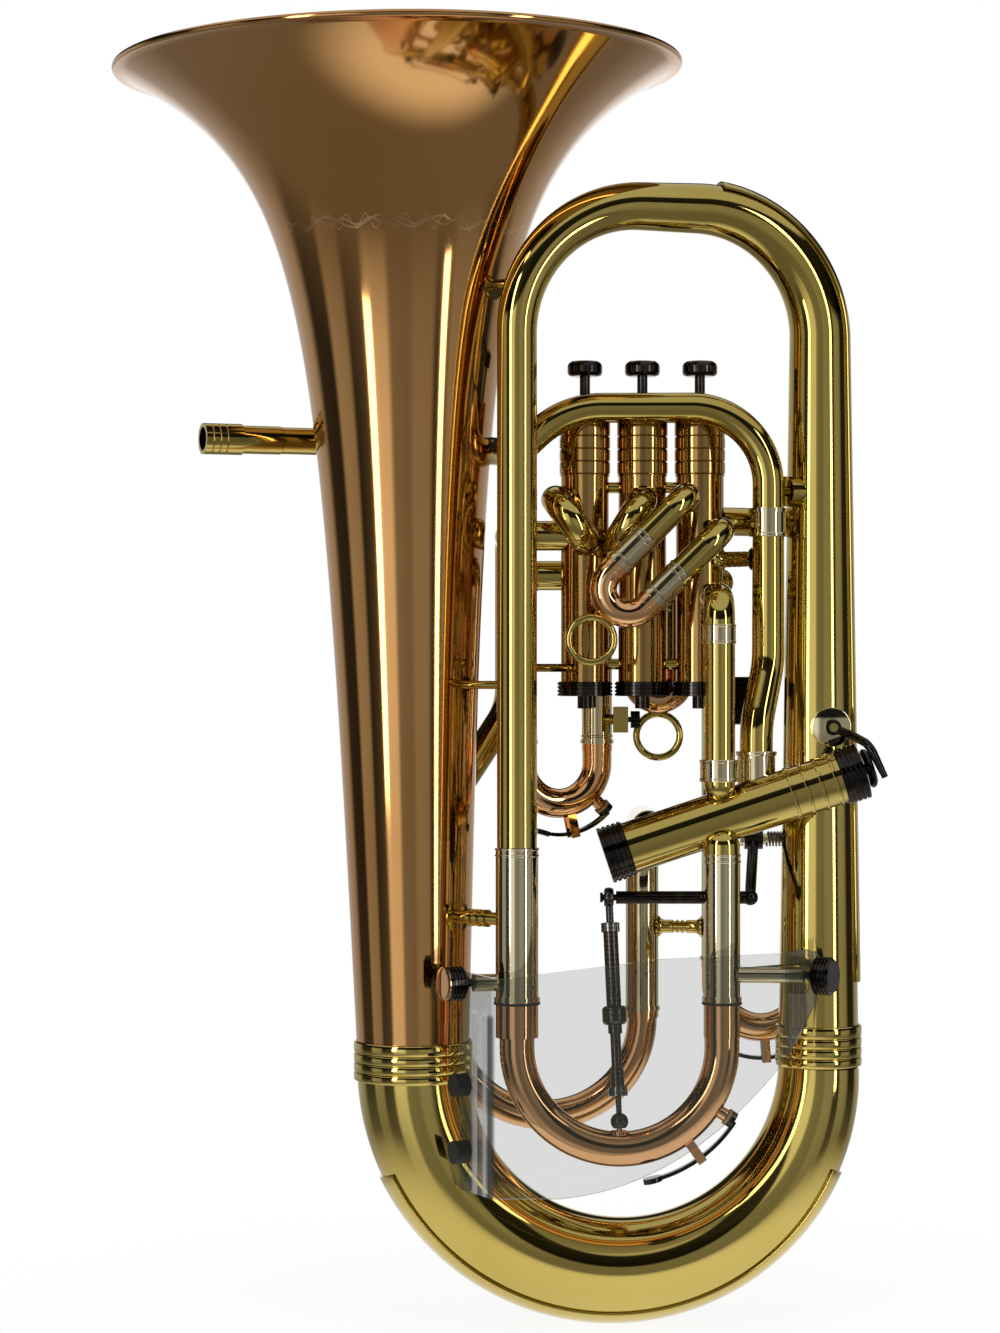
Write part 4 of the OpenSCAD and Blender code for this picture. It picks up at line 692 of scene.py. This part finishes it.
# Turned posts with trumpet feet: between the two back slides, and from the third valve to the leadpipe
postForm = {"bore": 1.0, "sink": 0.6, "flare": 2.2, "rim": 0.4, "waist": 0.8, "waistAt": 1.4, "foot": 3.0,
    "grooves": (-2.8, 0.0, 2.8), "grooveHalf": 0.9, "grooveDeep": 0.7}
casingLow, casingHigh = boxOf("casing_3")
casing = {"x": (casingLow.x + casingHigh.x) / 2, "y": (casingLow.y + casingHigh.y) / 2,
    "r": (casingHigh.x - casingLow.x) / 2}
leadpipe = {"x": leadX, "y": leadY, "r": leadForm["startR"] + leadForm["grow"]}
postEnds = ((sleeves["fourthRight"], sleeves["thirdLeft"], 208, 3.6),
            (casing, leadpipe, 408, 4.2))  # from, to, height, radius
posts = []
for start, end, z, r in postEnds:
    startSpot, endSpot = Vector((start["x"], start["y"], z)), Vector((end["x"], end["y"], z))
    long = (endSpot - startSpot).length - start["r"] - end["r"]
    trumpet = [(r - postForm["bore"], -postForm["sink"]), (r + postForm["flare"], -postForm["sink"]),
        (r + postForm["flare"], postForm["rim"]), (r + postForm["waist"], postForm["waistAt"]),
        (r, postForm["foot"])]
    outline = list(trumpet)
    for shift in postForm["grooves"]:
        middle, half, deep = long / 2 + shift, postForm["grooveHalf"], postForm["grooveDeep"]
        outline += [(r, middle - half), (r - deep, middle - half / 2), (r - deep, middle + half / 2),
            (r, middle + half)]
    outline += [(radius, long - height) for radius, height in reversed(trumpet)]
    axis = (endSpot - startSpot).normalized()
    posts.append(setPlace(turnProfile("post", outline), startSpot + axis * start["r"], axis))
postPiece = finishPiece(joinPieces("turnedPosts", posts), finishes["yellow_brass"])

# Bright ferrules: around the foot and the head of the front tube, and beads on the leadpipe's two ferrules
linkX = 52.55
linkRings = ({"low": 290.5, "tall": 11.5, "inner": 10.02, "edge": 10.35, "lip": 10.6, "neck": 10.25,
              "lipFrom": 0.4, "lipTo": 1.4, "neckFrom": 1.8},
             {"low": 362.6, "tall": 10.2, "inner": 8.22, "edge": 8.55, "lip": 8.85, "neck": 8.6,
              "lipFrom": 0.35, "lipTo": 1.2, "neckFrom": 1.5})
pipeBead = {"edge": 0.5, "rise": 0.8, "tall": 2.2, "soft": 0.5}
pipeSpots = ((9.72, (leadX, leadY, 419.5)), (10.02, (*leadForm["foot"], 303.8)))  # radius and place
bright = []
for ring in linkRings:
    half = [(ring["inner"], 0), (ring["edge"], 0), (ring["lip"], ring["lipFrom"]),
        (ring["lip"], ring["lipTo"]), (ring["neck"], ring["neckFrom"])]
    outline = half + [(radius, ring["tall"] - height) for radius, height in reversed(half)]
    bright.append(setPlace(turnProfile("ring", outline, 64), (linkX, horn["frontY"], ring["low"])))
for r, spot in pipeSpots:
    outline = bandOutline(r, r + pipeBead["edge"], r + pipeBead["rise"], 0, pipeBead["tall"],
        pipeBead["soft"])
    bright.append(setPlace(turnProfile("bead", outline, 64), spot))
brightPiece = finishPiece(joinPieces("pipeFerruleRings", bright), finishes["nickel_silver"])

# Raised pairs of beads at the ends of the slide sleeves
beadForm = {"tall": 1.2, "edge": 0.2, "rise": 0.45, "soft": 0.3, "sink": 0.1, "downs": (0.1, 3.4),
    "lowEnd": 4.7}
frontForm = {"foot": (5.05, -38, 391.2), "half": 13, "sleeveLow": 5.5, "sleeveTop": 27.5, "r": 7.5,
    "crookBeads": (1.6, 4.6), "crookR": 7.35, "crookRise": 0.25, "crookHalf": 0.5, "crookSoft": 0.3}
upright, slanted = Vector((0, 0, 1)), Vector((math.sqrt(0.5), 0, math.sqrt(0.5)))
frontFoot = Vector(frontForm["foot"])
frontSide = Vector((math.sqrt(0.5), 0, -math.sqrt(0.5))) * frontForm["half"]
sleeveEnds = []
for sleeve in sleeves.values():
    sleeveEnds.append(((sleeve["x"], sleeve["y"], sleeve["top"]), upright, sleeve["r"]))
firstLow = boxOf("first_sleeves")[0].z + beadForm["lowEnd"]
for sleeve in (sleeves["firstLeft"], sleeves["firstRight"]):
    sleeveEnds.append(((sleeve["x"], sleeve["y"], firstLow), upright, sleeve["r"]))
for side in (-frontSide, frontSide):
    for along in (frontForm["sleeveTop"], frontForm["sleeveLow"] + beadForm["lowEnd"]):
        sleeveEnds.append((frontFoot + side + slanted * along, slanted, frontForm["r"]))
beads = []
for spot, axis, r in sleeveEnds:
    outline = bandOutline(r - beadForm["sink"], r + beadForm["edge"], r + beadForm["rise"],
        -beadForm["tall"], 0, beadForm["soft"])
    spots = [Vector(spot) - axis * down for down in beadForm["downs"]]
    beads += placeCopies(turnProfile("bead", outline), spots, axis)
beadPiece = finishPiece(joinPieces("sleeveBeads", beads), finishes["nickel_silver"])

# Beads on the crook of the front slide, beside its sleeves
crookR, rise, half = frontForm["crookR"], frontForm["crookRise"], frontForm["crookHalf"]
outline = bandOutline(crookR - rise, crookR, crookR + rise, -half, half, frontForm["crookSoft"])
spots = []
for side in (-frontSide, frontSide):
    spots += [frontFoot + side + slanted * along for along in frontForm["crookBeads"]]
beads = placeCopies(turnProfile("bead", outline), spots, slanted)
crookBeads = finishPiece(joinPieces("frontCrookBeads", beads), finishes["rose_brass"], "slide_front")

# Domes that close the two knuckles reaching past the third valve's casing, cut off inside its wall
domeForm = {"rise": 0.7, "cutIn": 0.3, "cutHalf": 20, "cutZ": 395,
            "knuckles": ((7.7, (sleeves["thirdLeft"]["x"], 9.1, 396.06)),
                         (7.9, (sleeves["secondRight"]["x"], 11.6, 394.06)))}  # radius and place
domes = []
for r, spot in domeForm["knuckles"]:
    rise = domeForm["rise"]
    outline = [(0, 0), (r, 0)] + arcPoints(r, range(15, 90, 15), rise=rise) + [(0, rise * r)]
    domes.append(setPlace(turnProfile("dome", outline, closed=False), spot, (0, -1, 0)))
domePiece = joinPieces("knuckleDomes", domes)
cutR, cutHalf = casing["r"] - domeForm["cutIn"], domeForm["cutHalf"]
inCasing = turnProfile("inCasing", [(0, -cutHalf), (cutR, -cutHalf), (cutR, cutHalf), (0, cutHalf)], 96,
    closed=False)
setPlace(inCasing, (casing["x"], casing["y"], domeForm["cutZ"]))
useModifier(domePiece, "BOOLEAN", operation="DIFFERENCE", object=inCasing)
bpy.data.objects.remove(inCasing)
finishPiece(domePiece, finishes["yellow_brass"])

# Beads around the upper end of the side valve's casing
sideForm = {"start": (-7.25, -37, 251.1), "tilt": 18.4, "beads": 4, "first": 103.7, "pitch": 7.8, "r": 14.2,
    "sink": 0.5, "rise": 0.3, "half": 0.9, "soft": 0.35}
tilt = math.radians(sideForm["tilt"])
sideAxis = Vector((math.cos(tilt), 0, math.sin(tilt)))
r, half = sideForm["r"], sideForm["half"]
outline = bandOutline(r - sideForm["sink"], r, r + sideForm["rise"], -half, half, sideForm["soft"])
firstSpot = Vector(sideForm["start"]) + sideAxis * sideForm["first"]
spots = [firstSpot + sideAxis * sideForm["pitch"] * i for i in range(sideForm["beads"])]
beads = placeCopies(turnProfile("bead", outline, 64), spots, sideAxis)
sideBeads = finishPiece(joinPieces("sideValveBeads", beads), finishes["yellow_brass"])

# Rubber rings that soften the tuning slide's return
bumperForm = {"z": 173.9, "tall": 1.3, "edge": 0.7, "thick": 1.0, "soft": 0.35, "play": 0.02}
bumpers = []
for sleeve in (sleeves["mainLeft"], sleeves["mainRight"]):
    r = sleeve["r"]
    ring = turnProfile("ring", bandOutline(r + bumperForm["play"], r + bumperForm["edge"],
        r + bumperForm["thick"], 0, bumperForm["tall"], bumperForm["soft"]))
    bumpers.append(setPlace(ring, (sleeve["x"], sleeve["y"], bumperForm["z"])))
bumperPiece = finishPiece(joinPieces("slideBumperRings", bumpers), finishes["black_rubber"], "tuning_slide")

# Pull rings of the second and the front slide, in the horn's yellow brass
ringForm = {"r": 11.85, "wire": 1.92, "spots": {"slide_2": (*between("secondLeft", "secondRight"), 313.0),
    "slide_front": (-14.243, -38, 364.812)}}
for body, spot in ringForm["spots"].items():
    ring = turnProfile("pullRing_" + body, arcPoints(ringForm["wire"], range(0, 360, 18), ringForm["r"]), 72)
    ringPiece = finishPiece(setPlace(ring, spot, (0, 1, 0)), finishes["yellow_brass"], body)

# Polished plates: the flange under the hook and the end of the left guard screw
plateForm = {"flangeY": -24.02, "flangeR": 10.3, "flangeEdge": 9.9, "flangeT": 0.7, "flangeSoft": 0.2,
    "seat": (-76.95, -47.889, 185.5), "out": (-0.893, -0.45, 0), "screwEnd": 15.72}
plate = turnProfile("hookFlangePlate", bandOutline(0, plateForm["flangeEdge"], plateForm["flangeR"], 0,
    plateForm["flangeT"], plateForm["flangeSoft"]), 64, closed=False)
setPlace(plate, (pivot.x, plateForm["flangeY"], pivot.z), (0, -1, 0))
flangePiece = finishPiece(plate, finishes["nickel_silver"])
leftOut = Vector(plateForm["out"])
endOutline = [(0, 0), (8.4, 0), (8.9, 0.3), (8.9, 0.7), (8.4, 1.0), (6.5, 1.15), (0, 1.25)]
plate = turnProfile("knobEndPlate", endOutline, 64, closed=False)
setPlace(plate, Vector(plateForm["seat"]) + leftOut * plateForm["screwEnd"], leftOut)
capPiece = finishPiece(plate, finishes["rose_brass"], "knob_left")

# Cork pads of the water keys, each on the outside of its slide's crook
padForm = {"outline": [(0, 0), (4.2, 0), (4.5, 0.3), (4.5, 1.7), (4.3, 1.9), (0, 1.9)], "off": 3.68}
mainMiddle = (*between("mainLeft", "mainRight"), 151.8)
firstMiddle = (*between("firstLeft", "firstRight"), 298.3)
thirdMiddle = (*between("thirdLeft", "thirdRight"), 177.7)
keys = {"water_key_main": {"middle": mainMiddle, "turn": 0.0, "r": 62.8, "at": -33},
        "water_key_first": {"middle": firstMiddle, "turn": 19.3, "r": 29.935, "at": -44},
        "water_key_third": {"middle": thirdMiddle, "turn": 0.0, "r": 32.35, "at": -62}}
for body, key in keys.items():
    turn, a = math.radians(key["turn"]), math.radians(key["at"])
    out = Vector((math.cos(a) * math.cos(turn), math.cos(a) * math.sin(turn), math.sin(a)))
    disc = turnProfile("corkPad_" + body, padForm["outline"], 40, closed=False)
    finishPiece(setPlace(disc, Vector(key["middle"]) + out * (key["r"] + padForm["off"]), out), corkSheet,
        body)
print("posts, beads, rings, domes, plates and pads made")

# Camera: level, square to the horn
cameraForm = {"x": -62.25, "away": 1750, "z": 350.7, "sensor": 36, "pixelsTall": 1333, "mmPerPixel": 0.537}
camera = bpy.data.cameras.new("photoCamera")
cameraObj = bpy.data.objects.new("photoCamera", camera)
scene.collection.objects.link(cameraObj)
cameraObj.location = (cameraForm["x"] * mm, -cameraForm["away"] * mm, cameraForm["z"] * mm)
cameraObj.rotation_euler = (math.radians(90), 0, 0)
camera.sensor_fit = "VERTICAL"
camera.sensor_height = cameraForm["sensor"]
seenTall = cameraForm["pixelsTall"] * cameraForm["mmPerPixel"]
camera.lens = cameraForm["sensor"] * cameraForm["away"] / seenTall
camera.clip_end = 50
scene.camera = cameraObj

# Floor: white paper that glows a little, keeps the shadow and fades out around the horn
floorForm = {"wide": 900, "drop": 1.8, "paper": "#F4F4F2", "glow": 1.06, "glowShare": 0.85, "fadeFrom": 140,
    "fadeTo": 420}
bpy.ops.mesh.primitive_plane_add(size=floorForm["wide"] * mm, location=(0, 0, -floorForm["drop"] * mm))
floor = bpy.context.object
floor.name = "paleFloor"
material, tree, place = newMaterial("PaleFloorPaper")
paper = addNode(tree, "ShaderNodeBsdfDiffuse", {"Color": linear(floorForm["paper"])})
glow = addNode(tree, "ShaderNodeEmission", {"Color": (1, 1, 1, 1), "Strength": floorForm["glow"]})
both = addNode(tree, "ShaderNodeMixShader", {"Fac": floorForm["glowShare"], 1: paper, 2: glow})
reach = addNode(tree, "ShaderNodeVectorMath", {0: place}, operation="LENGTH")
fade = addNode(tree, "ShaderNodeMapRange", {"Value": reach.outputs["Value"],
    "From Min": floorForm["fadeFrom"] * mm, "From Max": floorForm["fadeTo"] * mm, "To Min": 1.0,
    "To Max": 0.0}, interpolation_type="SMOOTHSTEP")
bare = addNode(tree, "ShaderNodeBsdfTransparent")
faded = addNode(tree, "ShaderNodeMixShader", {"Fac": fade, 1: bare, 2: both})
addNode(tree, "ShaderNodeOutputMaterial", {"Surface": faded})
floor.data.materials.append(material)

# Room that the metal mirrors: light and dark walls all around, a dark beam, a grey ceiling and a dim floor
wallTones = ((0.0, 0.5), (0.1, 0.45), (0.16, 0.34), (0.185, 0.03), (0.25, 0.02), (0.28, 0.34),
             (0.335, 0.4), (0.35, 0.04), (0.385, 0.03), (0.4, 0.34), (0.455, 0.36), (0.475, 0.24),
             (0.53, 0.28), (0.545, 0.95), (0.6, 1.0), (0.615, 0.08), (0.665, 0.03), (0.68, 0.36),
             (0.73, 0.42), (0.745, 0.03), (0.81, 0.04), (0.84, 0.4), (0.9, 0.5),
             (1.0, 0.5))  # share of the way around from behind the horn, tone
beamTones = ((0.0, 1), (0.19, 1), (0.24, 0.04), (0.58, 0.04), (0.63, 1))  # height, share of the tone kept
roomForm = {"ceiling": (0.6, 0.6, 0.6, 1), "ceilingFrom": 0.3, "ceilingTo": 0.6,
    "dim": (0.2, 0.19, 0.18, 1), "dimFrom": -0.12, "dimTo": -0.5, "whiteFrom": 0.93, "whiteTo": 0.99}
world = bpy.data.worlds.new("studioRoom")
world.use_nodes = True
scene.world = world
tree = world.node_tree
tree.nodes.clear()
way = addNode(tree, "ShaderNodeTexCoord").outputs["Generated"]
axes = addNode(tree, "ShaderNodeSeparateXYZ", {"Vector": way})
around = addNode(tree, "ShaderNodeMath", {0: axes.outputs["X"], 1: axes.outputs["Y"]}, operation="ARCTAN2")
share = addNode(tree, "ShaderNodeMapRange", {"Value": around, "From Min": -math.pi, "From Max": math.pi,
    "To Min": 0.0, "To Max": 1.0})
turned = addNode(tree, "ShaderNodeMath", {0: share, 1: 0.5}, operation="ADD")
wrapped = addNode(tree, "ShaderNodeMath", {0: turned, 1: 1.0}, operation="MODULO")
walls = addNode(tree, "ShaderNodeValToRGB", {"Fac": wrapped})
setRamp(walls, greyStops(wallTones))
high = addNode(tree, "ShaderNodeMapRange", {"Value": axes.outputs["Z"], "From Min": roomForm["ceilingFrom"],
    "From Max": roomForm["ceilingTo"]})
topped = addNode(tree, "ShaderNodeMix", {"Factor": high, 6: walls, 7: roomForm["ceiling"]},
    data_type="RGBA")
beam = addNode(tree, "ShaderNodeValToRGB", {"Fac": axes.outputs["Z"]})
setRamp(beam, greyStops(beamTones))
beamed = addNode(tree, "ShaderNodeMix", {"Factor": 1.0, 6: topped.outputs[2], 7: beam}, data_type="RGBA",
    blend_type="MULTIPLY")
low = addNode(tree, "ShaderNodeMapRange", {"Value": axes.outputs["Z"], "From Min": roomForm["dimFrom"],
    "From Max": roomForm["dimTo"]})
sunk = addNode(tree, "ShaderNodeMix", {"Factor": low, 6: beamed.outputs[2], 7: roomForm["dim"]},
    data_type="RGBA")
path = addNode(tree, "ShaderNodeLightPath")
seen = addNode(tree, "ShaderNodeMath", {0: path.outputs["Is Camera Ray"],
    1: path.outputs["Is Transmission Ray"]}, operation="MAXIMUM")
behind = addNode(tree, "ShaderNodeMapRange", {"Value": axes.outputs["Y"], "From Min": roomForm["whiteFrom"],
    "From Max": roomForm["whiteTo"]})
mirrored = addNode(tree, "ShaderNodeMath", {0: behind, 1: path.outputs["Is Glossy Ray"]},
    operation="MULTIPLY")
white = addNode(tree, "ShaderNodeMath", {0: seen, 1: mirrored}, operation="MAXIMUM")
shown = addNode(tree, "ShaderNodeMix", {"Factor": white, 6: sunk.outputs[2], 7: (1, 1, 1, 1)},
    data_type="RGBA")
back = addNode(tree, "ShaderNodeBackground", {"Color": shown.outputs[2], "Strength": 1.0})
addNode(tree, "ShaderNodeOutputWorld", {"Surface": back})

# Lamps, in metres and watts: two strips that the metal mirrors, and a soft one above that it doesn't
lampAim = Vector((-0.02, 0, 0.34))
lamps = {"leftStrip": {"spot": (-1.0, -1.25, 0.7), "wide": 0.24, "tall": 1.3, "watts": 5.5, "mirrored": True},
         "rightStrip": {"spot": (1.05, -1.0, 0.6), "wide": 0.18, "tall": 1.3, "watts": 4, "mirrored": True},
         "topSoftbox": {"spot": (0.0, -0.4, 1.9), "wide": 1.0, "tall": 1.0, "watts": 10, "mirrored": False}}
for name, form in lamps.items():
    lamp = bpy.data.lights.new(name, "AREA")
    lamp.shape = "RECTANGLE"
    lamp.size = form["wide"]
    lamp.size_y = form["tall"]
    lamp.energy = form["watts"]
    lampObj = bpy.data.objects.new(name, lamp)
    scene.collection.objects.link(lampObj)
    lampObj.location = form["spot"]
    lampObj.visible_glossy = form["mirrored"]
    lampObj.rotation_euler = (lampAim - Vector(form["spot"])).to_track_quat("-Z", "Y").to_euler()
print("camera, room and lamps set")
